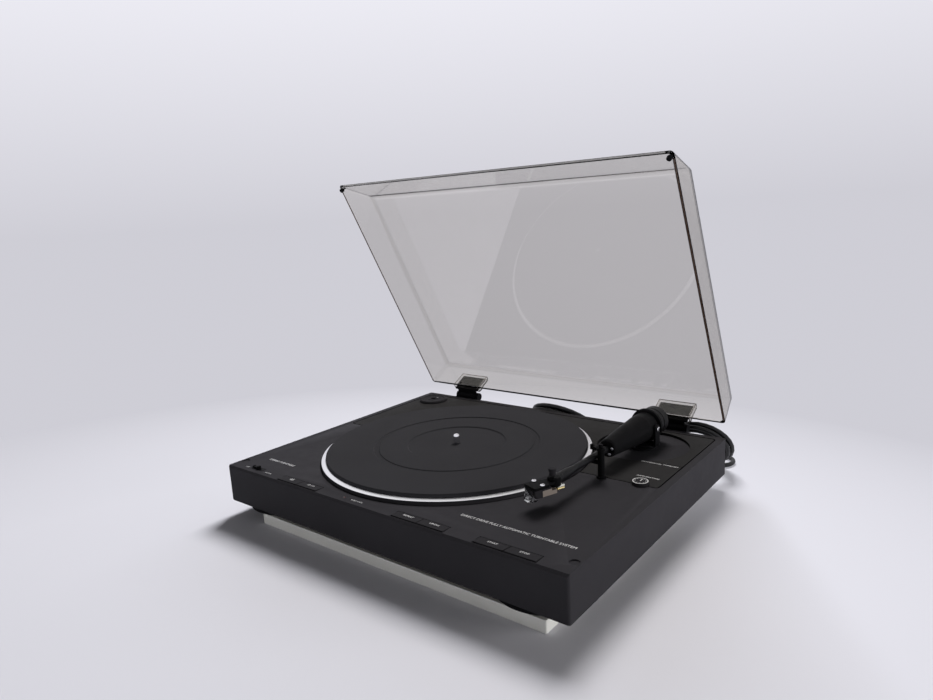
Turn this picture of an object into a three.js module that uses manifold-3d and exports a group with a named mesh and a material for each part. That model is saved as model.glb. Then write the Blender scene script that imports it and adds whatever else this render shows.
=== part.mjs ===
// A record player with its smoked dust cover open, in millimetres.
// X runs to the right, Y runs to the back and Z runs up from the surface it stands on.
import * as THREE from 'three';
import { ConvexGeometry } from 'three/addons/geometries/ConvexGeometry.js';
import { mergeVertices } from 'three/addons/utils/BufferGeometryUtils.js';
import Module from 'manifold-3d';

const wasm = await Module();
wasm.setup();

// Driving sizes of the cabinet
const PLATTER_RADIUS = 150.2;
const PLATTER_LEFT_MARGIN = 42.5;
const PLATTER_RIGHT_MARGIN = 91.1;
const PLATTER_FRONT_MARGIN = 18.6;
const PLATTER_BACK_MARGIN = 24.4;
const PLINTH_HEIGHT = 40.8;
const PLINTH_WALL = 3;
const PLINTH_TOP = 5.5;
const PLINTH_CORNER = 2.5;
const FRONT_BEVEL = 2;
const BOARD_THICKNESS = 11.6;
const BOARD_LEFT_INSET = 51;
const BOARD_RIGHT_INSET = 23;
const BOARD_FRONT_INSET = 3.7;
const BOARD_BACK_INSET = 21.7;
const BOARD_CORNER = 6;
const FOOT_RADIUS = 46;
const FOOT_DROP = 5.6;
const FOOT_SHOULDER_RADIUS = 38;
const FOOT_CHAMFER = 1.5;
const FOOT_STEM_RADIUS = 8;
const FOOT_SNAP_RADIUS = 10;
const FOOT_SNAP_HEIGHT = 3.5;
const FOOT_SIDE_INSET = 49;
const FOOT_FRONT_INSET = 46.7;
const FOOT_BACK_INSET = 64.7;
const COVER_THICKNESS = 2;
const COVER_RISE = 1;
const COVER_SLOT_LENGTH = 34;
const COVER_SLOT_WIDTH = 4;
const COVER_SLOT_STEP = 10;
const COVER_SLOT_COUNT = 7;
const BOSS_RADIUS = 5;
const BOSS_SIDE_INSET = 21;
const BOSS_END_INSET = 13.5;

// Clearances
const SEAT_GAP = 0.3;
const RUNNING_GAP = 0.4;
const OVERRUN = 2;

// Driving sizes of the deck fittings
const PANEL_SIDE_MARGIN = 9.2;
const PANEL_BACK_MARGIN = 9.2;
const PANEL_BEHIND_SPINDLE = 9.4;
const PANEL_THICKNESS = 2.5;
const PANEL_GROOVE = 1.5;
const PANEL_CORNER = 3;
const PANEL_LINE_WIDTH = 0.9;
const PANEL_LINE_DEPTH = 0.6;
const PANEL_LINE_FROM_BACK = 104.7;
const ARM_WELL_EDGE = 11.1;
const BUMPER_PAD_RADIUS = 4.5;
const BUMPER_PAD_DEPTH = 1;
const BUMPER_PAD_SIDE_INSET = 6;
const BUMPER_PAD_FRONT_INSET = 19.2;
const ADAPTOR_RADIUS = 19.5;
const ADAPTOR_BORE_RADIUS = 3.6;
const ADAPTOR_HEIGHT = 5.5;
const ADAPTOR_RISE = 3;
const ADAPTOR_SIDE_INSET = 32.4;
const ADAPTOR_BACK_INSET = 32.2;
const DIAL_RADIUS = 8;
const DIAL_RISE = 3.3;
const DIAL_SHAFT_RADIUS = 2.5;
const DIAL_SHAFT_LENGTH = 14;
const DIAL_SIDE_INSET = 26.3;
const DIAL_BEHIND_EDGE = 1.3;
const LED_RADIUS = 1.3;
const LED_LENGTH = 9;
const LED_FLANGE_RADIUS = 2.2;
const LED_FROM_LEFT = 183.9;
const LED_FROM_FRONT = 8.6;
const SWITCH_WIDTH = 7.5;
const SWITCH_DEPTH = 3.2;
const SWITCH_RISE = 3;
const SWITCH_TRAVEL = 5;
const SWITCH_STEM = 3;
const SWITCH_FROM_LEFT = 39;
const SWITCH_FROM_FRONT = 11.6;

// Driving sizes of the touch plates
const PLATE_WIDTH = 30;
const PLATE_DEPTH = 10.9;
const PLATE_THICKNESS = 2.2;
const PLATE_GAP = 0.6;
const PLATE_FRONT_GAP = 0.9;
const PLATE_FRONT_INSET = 3.5;
const PLATE_LUG_WIDTH = 7;
const PLATE_LUG_RADIUS = 2.2;
const PLATE_STEM_WIDTH = 4;
const PLATE_STEM_DEPTH = 3;
const PLATE_STEM_LENGTH = 6;
const PLATE_ROD_RADIUS = 1;
const PLATE_ROD_DROP = 4.9;
const PLATE_PAIR_SHARES = { speed: -0.2323, cue: 0.1479, start: 0.3608 };
const ROD_HANGER_WIDTH = 3;
const ROD_HANGER_RADIUS = 2.4;

// Driving sizes of the platter and its drive
const PLATTER_LIP_WIDTH = 4.5;
const PLATTER_EDGE_RISE = 4;
const PLATTER_LIP_RISE = 5;
const PLATTER_TOP_RISE = 4.3;
const PLATTER_SKIRT_DROP = 6;
const PLATTER_WALL = 4;
const PLATTER_HUB_RADIUS = 16;
const WELL_GAP = 1.8;
const WELL_DEPTH = 8;
const WELL_FLOOR = 2.5;
const WELL_WALL = 3;
const MAT_LIP_GAP = 0.5;
const MAT_RISE = 8.6;
const MAT_STEP_OUTER_RADIUS = 93;
const MAT_STEP_INNER_RADIUS = 86.5;
const MAT_STEP_DEPTH = 0.7;
const MAT_LABEL_RADIUS = 54.5;
const MAT_LABEL_DEPTH = 1.4;
const MAT_EDGE = 0.8;
const SPINDLE_RADIUS = 3.6;
const SPINDLE_RISE = 18;
const SPINDLE_TIP = 1.4;
const SPINDLE_FLANGE_RADIUS = 12;
const SPINDLE_FLANGE_HEIGHT = 1.4;
const SPINDLE_DEPTH = 32;
const BEARING_RADIUS = 8.5;
const BEARING_FLANGE_RADIUS = 17;
const BEARING_FLANGE_HEIGHT = 1.6;
const BEARING_END = 2;
const DRIVE_HOLE_RADIUS = 62;
const ROTOR_OUTER_RADIUS = 56;
const ROTOR_WIDTH = 14;
const ROTOR_HEIGHT = 4.6;
const STATOR_RADIUS = 72;
const STATOR_PLATE = 1.8;
const COIL_COUNT = 6;
const COIL_RADIUS = 7.5;
const COIL_HEIGHT = 2.6;
const COIL_RING_RADIUS = 46;

// Driving sizes of the parts inside
const TRANSFORMER_WIDTH = 46;
const TRANSFORMER_DEPTH = 38;
const TRANSFORMER_HEIGHT = 24;
const TRANSFORMER_FLANGE = 8;
const TRANSFORMER_PLATE = 2;
const TRANSFORMER_SIDE_INSET = 44;
const TRANSFORMER_BACK_INSET = 112;
const CONTROL_FOOT_GAP = 23;
const CONTROL_DEPTH = 42;
const CONTROL_BOARD = 1.6;
const CONTROL_STANDOFF = 5;
const CONTROL_STANDOFF_RADIUS = 3;
const CONTROL_CHIP_WIDTH = 36;
const CONTROL_CHIP_DEPTH = 13;
const CONTROL_CHIP_HEIGHT = 4;
const CONTROL_FRONT_INSET = 52;

// Driving sizes of the tonearm, along the arm from its pivot unless the name says otherwise
const ARM_FROM_RIGHT = 69.5;
const ARM_FROM_BACK = 62.7;
const ARM_RISE = 20.5;
const ARM_PARK_ANGLE = -1.35;
const ARM_BASE_RADIUS = 14;
const ARM_BASE_FLANGE = 2;
const ARM_COLUMN_RADIUS = 7.5;
const ARM_COLUMN_TOP = 1.6;
const ARM_SHAFT_RADIUS = 4;
const ARM_SHAFT_DEPTH = 20;
const ARM_SLEEVE_DEPTH = 14;
const YOKE_BAR_LENGTH = 10;
const YOKE_BAR_THICKNESS = 3;
const YOKE_EAR_THICKNESS = 2.2;
const YOKE_EAR_RISE = 5;
const PIVOT_SCREW_RADIUS = 2;
const PIVOT_SCREW_HEAD_RADIUS = 2.9;
const PIVOT_SCREW_HEAD = 1.3;
const PIVOT_SCREW_REACH = 3.4;
const HOUSING_REST_GAP = 24.9;
const HOUSING_BACK = 8;
const HOUSING_FRONT_RADIUS = 9.4;
const HOUSING_BACK_RADIUS = 14.8;
const HOUSING_NOSE_RADIUS = 8;
const HOUSING_NOSE_LENGTH = 2.5;
const HOUSING_BORE_DEPTH = 20;
const STUB_RADIUS = 6;
const STUB_LENGTH = 30;
const WEIGHT_FLANGE_RADIUS = 18;
const WEIGHT_FLANGE_LENGTH = 3.4;
const WEIGHT_GROOVE_DEPTH = 1.6;
const WEIGHT_GROOVE_WIDTH = 1.1;
const WEIGHT_RADIUS = 15.5;
const WEIGHT_LENGTH = 24;
const WEIGHT_TRAVEL = 3;
const TUBE_RADIUS = 3.4;
const TUBE_NECK_RADIUS = 4.8;
const TUBE_NECK_LENGTH = 26;
const TUBE_NECK_TAPER = 12;
const TUBE_HEAD_GAP = 6;
const HEAD_UNDERHANG = 27;
const HEAD_OFFSET_ANGLE = -20;
const HEAD_REAR_RADIUS = 6.2;
const HEAD_REAR_DROP = 4.2;
const HEAD_REAR_RISE = 4.4;
const HEAD_PLATE_WIDTH = 17;
const HEAD_PLATE_LENGTH = 27;
const HEAD_PLATE_THICKNESS = 2.4;
const HEAD_PLATE_TOP = 1.7;
const HEAD_NECK_WIDTH = 11;
const HEAD_NECK_LENGTH = 9;
const HEAD_SCREW_SPACING = 12.7;
const HEAD_SCREW_AT = 17.4;
const HEAD_SCREW_HOLE_RADIUS = 1.3;
const LOCK_KNOB_RADIUS = 3.6;
const LOCK_KNOB_HEIGHT = 7;
const LOCK_KNOB_SHIFT = -2;
const CARTRIDGE_WIDTH = 15.6;
const CARTRIDGE_LENGTH = 18.5;
const CARTRIDGE_FRONT = 26.5;
const CARTRIDGE_HEIGHT = 7.4;
const CARTRIDGE_NOSE = 3;
const CARTRIDGE_TAIL = 5.6;
const CARTRIDGE_PIN_RADIUS = 0.6;
const CARTRIDGE_PIN_LENGTH = 6;
const CARTRIDGE_PIN_SPACING = 3.6;
const STYLUS_WIDTH = 6;
const STYLUS_LENGTH = 9;
const STYLUS_HEIGHT = 1.5;
const STYLUS_FROM_FRONT = 3;
const GUARD_THICKNESS = 0.8;
const GUARD_WIDTH = 12;
const GUARD_DROP = 10.3;
const GUARD_LENGTH = 6;
const GUARD_STANDOFF = 1.6;
const GUARD_GRIP_WIDTH = 5;

// Driving sizes of the arm rest
const REST_AHEAD = 3.4;
const REST_ASIDE = 7.4;
const REST_RADIUS = 3.4;
const REST_FOOT_RADIUS = 5;
const REST_FOOT_HEIGHT = 2;
const REST_TOP = 27.6;
const REST_CAP_RADIUS = 2.2;
const REST_STEM_TOP = 34.4;
const REST_CRADLE_THICKNESS = 3;
const REST_CRADLE_DEPTH = 4.4;
const LATCH_THICKNESS = 3;
const LATCH_REACH = 11;
const LATCH_WIDTH = 4;
const LATCH_RING_RADIUS = 4.2;
const LATCH_GRIP_HEIGHT = 2;

// Driving sizes of the dust cover and its hinges
const LID_SIDE_INSET = 1.9;
const LID_FRONT_INSET = 13;
const LID_HEIGHT = 39;
const LID_WALL = 2.8;
const LID_SIDE_DRAFT = 3.1;
const LID_FRONT_DRAFT = 36.2;
const LID_REAR_DRAFT = 3.2;
const LID_RIM_RISE = 3;
const LID_REAR_INSET = 6.2;
const LID_OPEN_ANGLE = 62.4;
const LID_BUMPER_RADIUS = 2.6;
const LID_BUMPER_STEM_RADIUS = 1.2;
const LID_BUMPER_STEM_LENGTH = 5;
const HINGE_BEHIND = 9;
const HINGE_RISE = 1;
const HINGE_SIDE_INSET = 65;
const HINGE_WIDTH = 38.4;
const HINGE_CHEEK = 3;
const HINGE_BARREL_RADIUS = 5.5;
const HINGE_PIN_RADIUS = 2.2;
const HINGE_TONGUE_WIDTH = 39;
const HINGE_TONGUE_HEIGHT = 22;
const HINGE_TONGUE_THICKNESS = 2.6;
const HINGE_WEB_THICKNESS = 2.1;
const HINGE_PLATE_THICKNESS = 2.6;
const HINGE_PLATE_DROP = 30;
const POCKET_WALL = 1.8;
const POCKET_WIDTH = 45;
const POCKET_HEIGHT = 25;

// Driving sizes of the leads
const LEAD_EXIT_DROP = 28;
const MAINS_EXIT_INSET = 155;
const MAINS_DIAMETER = 6;
const AUDIO_EXIT_INSET = 123;
const AUDIO_DIAMETER = 5.2;
const RELIEF_NECK_RADIUS = 5;
const RELIEF_COLLAR_RADIUS = 7.4;
const RELIEF_COLLAR = 2.4;
const RELIEF_LENGTH = 26;
const RELIEF_ROOT_RADIUS = 5.4;
const COIL_STEPS = 24;
const COIL_SIDES = 6;
const CORD_SIDES = 8;
const CORD_GAP = 0.45;
const MAINS_COIL = {
  inset: 234,
  behind: 39.9,
  z: 33.4,
  radius: 43.85,
  tilt: 39,
  turn: -1,
  tail: 36,
  layerTurns: 3,
};
const AUDIO_COIL = {
  inset: 40,
  behind: 39.5,
  z: 33.5,
  radius: 34.8,
  tilt: 56.5,
  turn: -1,
  tail: 28,
  layerTurns: 2,
};
const MAINS_PLUG_LENGTH = 34;
const MAINS_PLUG_WIDTH = 21;
const MAINS_PLUG_HEIGHT = 15.4;
const MAINS_BLADE_LENGTH = 17;
const MAINS_BLADE_HEIGHT = 6.2;
const MAINS_BLADE_THICKNESS = 1.5;
const MAINS_BLADE_SPACING = 12.7;
const AUDIO_PLUG_RADIUS = 5.6;
const AUDIO_PLUG_LENGTH = 24;
const AUDIO_PLUG_SPACING = 13;
const AUDIO_PIN_RADIUS = 1.6;
const AUDIO_PIN_LENGTH = 9;
const AUDIO_BRIDGE_LENGTH = 8;

// Sides of the round pieces
const FINE_SIDES = 64;
const ROUND_SIDES = 30;
const SMALL_SIDES = 16;
const TINY_SIDES = 8;

// Sizes and places worked out from the driving sizes
const PLINTH_WIDTH = PLATTER_LEFT_MARGIN + 2 * PLATTER_RADIUS + PLATTER_RIGHT_MARGIN;
const PLINTH_DEPTH = PLATTER_FRONT_MARGIN + 2 * PLATTER_RADIUS + PLATTER_BACK_MARGIN;
const LID_WIDTH = PLINTH_WIDTH - 2 * LID_SIDE_INSET;
const LID_DEPTH = PLINTH_DEPTH - LID_REAR_INSET - LID_FRONT_INSET;
const PLATTER_LIP_RADIUS = PLATTER_RADIUS - PLATTER_LIP_WIDTH;
const MAT_RADIUS = PLATTER_LIP_RADIUS - MAT_LIP_GAP;
const SKIRT_Z = BOARD_THICKNESS + FOOT_DROP;
const DECK_Z = SKIRT_Z + PLINTH_HEIGHT;
const LEFT = -PLINTH_WIDTH / 2;
const RIGHT = PLINTH_WIDTH / 2;
const FRONT = -PLINTH_DEPTH / 2;
const BACK = PLINTH_DEPTH / 2;
const COVER_Z = SKIRT_Z + COVER_RISE;
const COVER_TOP_Z = COVER_Z + COVER_THICKNESS;
const PLATTER_X = LEFT + PLATTER_LEFT_MARGIN + PLATTER_RADIUS;
const PLATTER_Y = FRONT + PLATTER_FRONT_MARGIN + PLATTER_RADIUS;
const PANEL_FRONT_Y = PLATTER_Y + PANEL_BEHIND_SPINDLE;
const WELL_RADIUS = PLATTER_RADIUS + WELL_GAP;
const WELL_FLOOR_Z = DECK_Z - WELL_DEPTH;
const WELL_UNDER_Z = WELL_FLOOR_Z - WELL_FLOOR;
const POCKET_FLOOR_Z = DECK_Z - PANEL_THICKNESS - SEAT_GAP;
const ARM_X = RIGHT - ARM_FROM_RIGHT;
const ARM_Y = BACK - ARM_FROM_BACK;
const ARM_Z = DECK_Z + ARM_RISE;
const ARM_WELL_RADIUS = ARM_FROM_RIGHT - PANEL_SIDE_MARGIN - ARM_WELL_EDGE;
const REST_ALONG = ARM_Y - PANEL_FRONT_Y + REST_AHEAD;
const HOUSING_FRONT = REST_ALONG - HOUSING_REST_GAP;
const HEAD_BEND = Math.hypot(ARM_X - PLATTER_X, ARM_Y - PLATTER_Y) - HEAD_UNDERHANG;
const TUBE_END = HEAD_BEND - TUBE_HEAD_GAP;
const ADAPTOR_X = LEFT + ADAPTOR_SIDE_INSET;
const ADAPTOR_Y = BACK - ADAPTOR_BACK_INSET;
const DIAL_X = RIGHT - DIAL_SIDE_INSET;
const DIAL_Y = PANEL_FRONT_Y + DIAL_BEHIND_EDGE;
const LED_X = LEFT + LED_FROM_LEFT;
const LED_Y = FRONT + LED_FROM_FRONT;
const SWITCH_X = LEFT + SWITCH_FROM_LEFT;
const SWITCH_Y = FRONT + SWITCH_FROM_FRONT;
const PLATE_FRONT_Y = FRONT + PLATE_FRONT_INSET;
const PLATE_BACK_Y = PLATE_FRONT_Y + PLATE_DEPTH;
const ROD_Y = PLATE_BACK_Y - PLATE_LUG_RADIUS;
const ROD_Z = DECK_Z - PLATE_ROD_DROP;
const HINGE_Y = BACK + HINGE_BEHIND;
const HINGE_Z = DECK_Z + HINGE_RISE;
const HINGE_X = RIGHT - HINGE_SIDE_INSET;
const MAINS_EXIT_X = RIGHT - MAINS_EXIT_INSET;
const AUDIO_EXIT_X = RIGHT - AUDIO_EXIT_INSET;
const LEAD_EXIT_Z = DECK_Z - LEAD_EXIT_DROP;
const DEGREE = Math.PI / 180;

// The leads' free stretches down to the floor and along it to the coil, as steps from the strain relief's end
const MAINS_ROUTE = [
  [0.4, 6.9, -0.2],
  [1.5, 15.7, -1.6],
  [2, 24, -4.7],
  [0.9, 31.4, -8.9],
  [-2, 38, -13.5],
  [-6.9, 43.3, -18],
  [-13.3, 47.4, -21.9],
  [-20.8, 49.9, -24.7],
  [-28.9, 50.9, -26.2],
  [-36.6, 50.6, -26.7],
  [-43.9, 49.1, -26.7],
  [-50.2, 47, -26.7],
  [-56.6, 44.8, -26.7],
  [-61.6, 43.7, -26.7],
];
const AUDIO_ROUTE = [
  [0, 10.7, 0],
  [-0.9, 20.7, -2.8],
  [-1.5, 29.8, -7.8],
  [-0.7, 37.6, -14.5],
  [2.9, 44.4, -21.4],
  [9.3, 51.2, -25.7],
  [17.4, 57.1, -27],
  [26.7, 60.7, -27],
  [37.2, 61.5, -27.1],
  [48, 60.7, -27.1],
  [58.9, 59.8, -27.1],
  [69.9, 60.1, -27.1],
  [82.4, 61.6, -27.1],
  [95.9, 60.9, -27.1],
  [103.7, 55.6, -27.1],
  [107.7, 48.1, -27.1],
  [108.1, 40.5, -27.1],
  [106.2, 35.1, -27.1],
  [102.9, 31.2, -27.1],
  [98.7, 28.8, -27.1],
];

const turntable = new THREE.Group();

const finishes = {
  black_plastic: [0x1b1b1e, 0.55, 0],
  black_paint: [0x222226, 0.5, 0],
  black_metal: [0x18181b, 0.4, 0.3],
  rubber: [0x1a1a1c, 0.85, 0],
  aluminium: [0xc9cacd, 0.3, 0.9],
  chrome: [0xd6d8da, 0.12, 1],
  pale_board: [0xa7a8a6, 0.6, 0],
  smoked_acrylic: [0x2b2422, 0.08, 0],
  brass: [0xc9a44a, 0.3, 0.9],
  clear_plastic: [0xd8dadb, 0.15, 0],
  circuit_green: [0x24553a, 0.6, 0],
  iron: [0x5b5c60, 0.5, 0.6],
  ferrite: [0x3a3a3d, 0.7, 0.1],
  red_lens: [0x8a1c16, 0.2, 0],
};

function finish(name) {
  const [color, roughness, metalness] = finishes[name];
  return new THREE.MeshStandardMaterial({ color, roughness, metalness });
}

// Tools for closed shapes

function signedVolume(geometry) {
  const place = geometry.attributes.position;
  const index = geometry.index.array;
  const corners = [new THREE.Vector3(), new THREE.Vector3(), new THREE.Vector3()];
  let sum = 0;
  for (let i = 0; i < index.length; i += 3) {
    corners.forEach((corner, k) => corner.fromBufferAttribute(place, index[i + k]));
    sum += corners[0].dot(corners[1].cross(corners[2]));
  }
  return sum;
}

function closed(geometry) {
  const bare = geometry.clone();
  bare.deleteAttribute('normal');
  bare.deleteAttribute('uv');
  const merged = mergeVertices(bare);
  if (signedVolume(merged) < 0) {
    const index = merged.index.array;
    for (let i = 0; i < index.length; i += 3) [index[i], index[i + 1]] = [index[i + 1], index[i]];
  }
  return merged;
}

function toSolid(geometry) {
  const shape = closed(geometry);
  const vertProperties = new Float32Array(shape.attributes.position.array);
  const triVerts = new Uint32Array(shape.index.array);
  return new wasm.Manifold(new wasm.Mesh({ numProp: 3, vertProperties, triVerts }));
}

function fromSolid(solid) {
  const mesh = solid.getMesh();
  const geometry = new THREE.BufferGeometry();
  geometry.setAttribute('position', new THREE.BufferAttribute(mesh.vertProperties, 3));
  geometry.setIndex(new THREE.BufferAttribute(mesh.triVerts, 1));
  return geometry;
}

function join(...geometries) {
  return fromSolid(geometries.map(toSolid).reduce((whole, piece) => whole.add(piece)));
}

function cut(geometry, ...tools) {
  return fromSolid(tools.map(toSolid).reduce((whole, tool) => whole.subtract(tool), toSolid(geometry)));
}

function block(width, depth, height, x, y, z) {
  return new THREE.BoxGeometry(width, depth, height).translate(x, y, z + height / 2);
}

function drum(radius, height, x, y, z, sides) {
  const geometry = new THREE.CylinderGeometry(radius, radius, height, sides);
  return geometry.rotateX(Math.PI / 2).translate(x, y, z + height / 2);
}

function axle(radius, length, x, y, z, sides) {
  const geometry = new THREE.CylinderGeometry(radius, radius, length, sides);
  return geometry.rotateZ(Math.PI / 2).translate(x, y, z);
}

// Turns a profile of [radius, height] points about Z.
function turned(profile, sides) {
  const points = profile.map(([radius, height]) => new THREE.Vector2(radius, height));
  return new THREE.LatheGeometry(points, sides).rotateX(Math.PI / 2);
}

// Turns a profile of [radius, distance] points about the arm's own axis, distance counted forward.
function turnedForward(profile, sides) {
  const points = profile.map(([radius, distance]) => new THREE.Vector2(radius, -distance));
  return new THREE.LatheGeometry(points, sides);
}

// Turns a profile about an axis that points to the back from a wall.
function turnedBack(profile, sides, x, y, z) {
  const points = profile.map(([radius, distance]) => new THREE.Vector2(radius, distance));
  return new THREE.LatheGeometry(points, sides).translate(x, y, z);
}

function roundedOutline(left, front, right, back, radius) {
  const shape = new THREE.Shape();
  shape.moveTo(left + radius, front);
  shape.lineTo(right - radius, front);
  shape.absarc(right - radius, front + radius, radius, -Math.PI / 2, 0, false);
  shape.lineTo(right, back - radius);
  shape.absarc(right - radius, back - radius, radius, 0, Math.PI / 2, false);
  shape.lineTo(left + radius, back);
  shape.absarc(left + radius, back - radius, radius, Math.PI / 2, Math.PI, false);
  shape.lineTo(left, front + radius);
  shape.absarc(left + radius, front + radius, radius, Math.PI, Math.PI * 1.5, false);
  return shape;
}

function slab(shape, height, z) {
  const options = { depth: height, bevelEnabled: false, curveSegments: 6 };
  return new THREE.ExtrudeGeometry(shape, options).translate(0, 0, z);
}

function polygon(points) {
  return new THREE.Shape(points.map(([x, y]) => new THREE.Vector2(x, y)));
}

// Extrudes an outline of [y, z] points along X, centred on x.
function barAlongX(points, length, x) {
  const options = { depth: length, bevelEnabled: false };
  const basis = new THREE.Matrix4();
  basis.makeBasis(new THREE.Vector3(0, 1, 0), new THREE.Vector3(0, 0, 1), new THREE.Vector3(1, 0, 0));
  const geometry = new THREE.ExtrudeGeometry(polygon(points), options);
  return geometry.translate(0, 0, -length / 2).applyMatrix4(basis).translate(x, 0, 0);
}

function add(name, geometry, finishName, parent = turntable) {
  const mesh = new THREE.Mesh(closed(geometry), finish(finishName));
  mesh.name = name;
  parent.add(mesh);
  return mesh;
}

const SIDES = [['left', -1], ['right', 1]];

// Cabinet

function baseBoard() {
  const outline = roundedOutline(LEFT + BOARD_LEFT_INSET, FRONT + BOARD_FRONT_INSET,
    RIGHT - BOARD_RIGHT_INSET,
    BACK - BOARD_BACK_INSET, BOARD_CORNER);
  return slab(outline, BOARD_THICKNESS, 0);
}

function footPlaces() {
  return SIDES.flatMap(([side, sign]) => [
    [`front_${side}`, sign * (RIGHT - FOOT_SIDE_INSET), FRONT + FOOT_FRONT_INSET],
    [`back_${side}`, sign * (RIGHT - FOOT_SIDE_INSET), BACK - FOOT_BACK_INSET],
  ]);
}

function foot(x, y) {
  const bottom = BOARD_THICKNESS + SEAT_GAP;
  const shoulder = SKIRT_Z - SEAT_GAP;
  const seat = COVER_Z - SEAT_GAP;
  const snap = COVER_TOP_Z + SEAT_GAP;
  const profile = [
    [0, bottom],
    [FOOT_RADIUS, bottom],
    [FOOT_RADIUS, shoulder - FOOT_CHAMFER],
    [FOOT_RADIUS - FOOT_CHAMFER, shoulder],
    [FOOT_SHOULDER_RADIUS, seat],
    [FOOT_STEM_RADIUS, seat],
    [FOOT_STEM_RADIUS, snap],
    [FOOT_SNAP_RADIUS, snap],
    [0, snap + FOOT_SNAP_HEIGHT],
  ];
  return turned(profile, ROUND_SIDES).translate(x, y, 0);
}

function bottomCover() {
  const margin = PLINTH_WALL + SEAT_GAP;
  const plate = block(PLINTH_WIDTH - 2 * margin, PLINTH_DEPTH - 2 * margin, COVER_THICKNESS, 0, 0, COVER_Z);
  const through = COVER_THICKNESS + 2 * OVERRUN;
  const holes = footPlaces().map(([, x, y]) =>
    drum(FOOT_STEM_RADIUS + SEAT_GAP, through, x, y, COVER_Z - OVERRUN, SMALL_SIDES));
  const slots = [];
  for (let i = 0; i < COVER_SLOT_COUNT; i += 1) {
    const y = (i - (COVER_SLOT_COUNT - 1) / 2) * COVER_SLOT_STEP;
    slots.push(block(COVER_SLOT_LENGTH, COVER_SLOT_WIDTH, through, PLATTER_X, y, COVER_Z - OVERRUN));
  }
  return cut(plate, ...holes, ...slots);
}

function bossPlaces() {
  const across = RIGHT - BOSS_SIDE_INSET;
  const along = BACK - BOSS_END_INSET;
  return [-across, 0, across].flatMap((x) => [[x, -along], [x, along]]);
}

function platePairs() {
  return Object.entries(PLATE_PAIR_SHARES).map(([pair, share]) => [pair, share * PLINTH_WIDTH]);
}

function plateOpening(centre) {
  const width = 2 * PLATE_WIDTH + 3 * PLATE_GAP;
  const front = PLATE_FRONT_Y - PLATE_FRONT_GAP;
  const back = PLATE_BACK_Y + PLATE_GAP / 2;
  return block(width, back - front, PLINTH_TOP + 2 * OVERRUN, centre, (front + back) / 2,
    DECK_Z - PLINTH_TOP - OVERRUN);
}

// Hangers that carry the plates' rod at both ends of each opening
function rodHangers() {
  return platePairs().flatMap(([, centre]) => [-1, 1].map((end) => {
    const offset = PLATE_WIDTH + 1.5 * PLATE_GAP + OVERRUN + ROD_HANGER_WIDTH / 2;
    const x = centre + end * offset;
    const arm = block(ROD_HANGER_WIDTH, 2 * ROD_HANGER_RADIUS, DECK_Z - PLINTH_TOP + OVERRUN - ROD_Z, x,
      ROD_Y, ROD_Z);
    return join(arm, axle(ROD_HANGER_RADIUS, ROD_HANGER_WIDTH, x, ROD_Y, ROD_Z, TINY_SIDES));
  }));
}

function rodLength() {
  const centres = platePairs().map(([, centre]) => centre);
  const reach = PLATE_WIDTH + 1.5 * PLATE_GAP + 2 * OVERRUN + ROD_HANGER_WIDTH;
  return { left: Math.min(...centres) - reach, right: Math.max(...centres) + reach };
}

function panelBounds(grow) {
  return {
    left: LEFT + PANEL_SIDE_MARGIN - grow,
    right: RIGHT - PANEL_SIDE_MARGIN + grow,
    front: PANEL_FRONT_Y - grow,
    back: BACK - PANEL_BACK_MARGIN + grow,
  };
}

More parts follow.
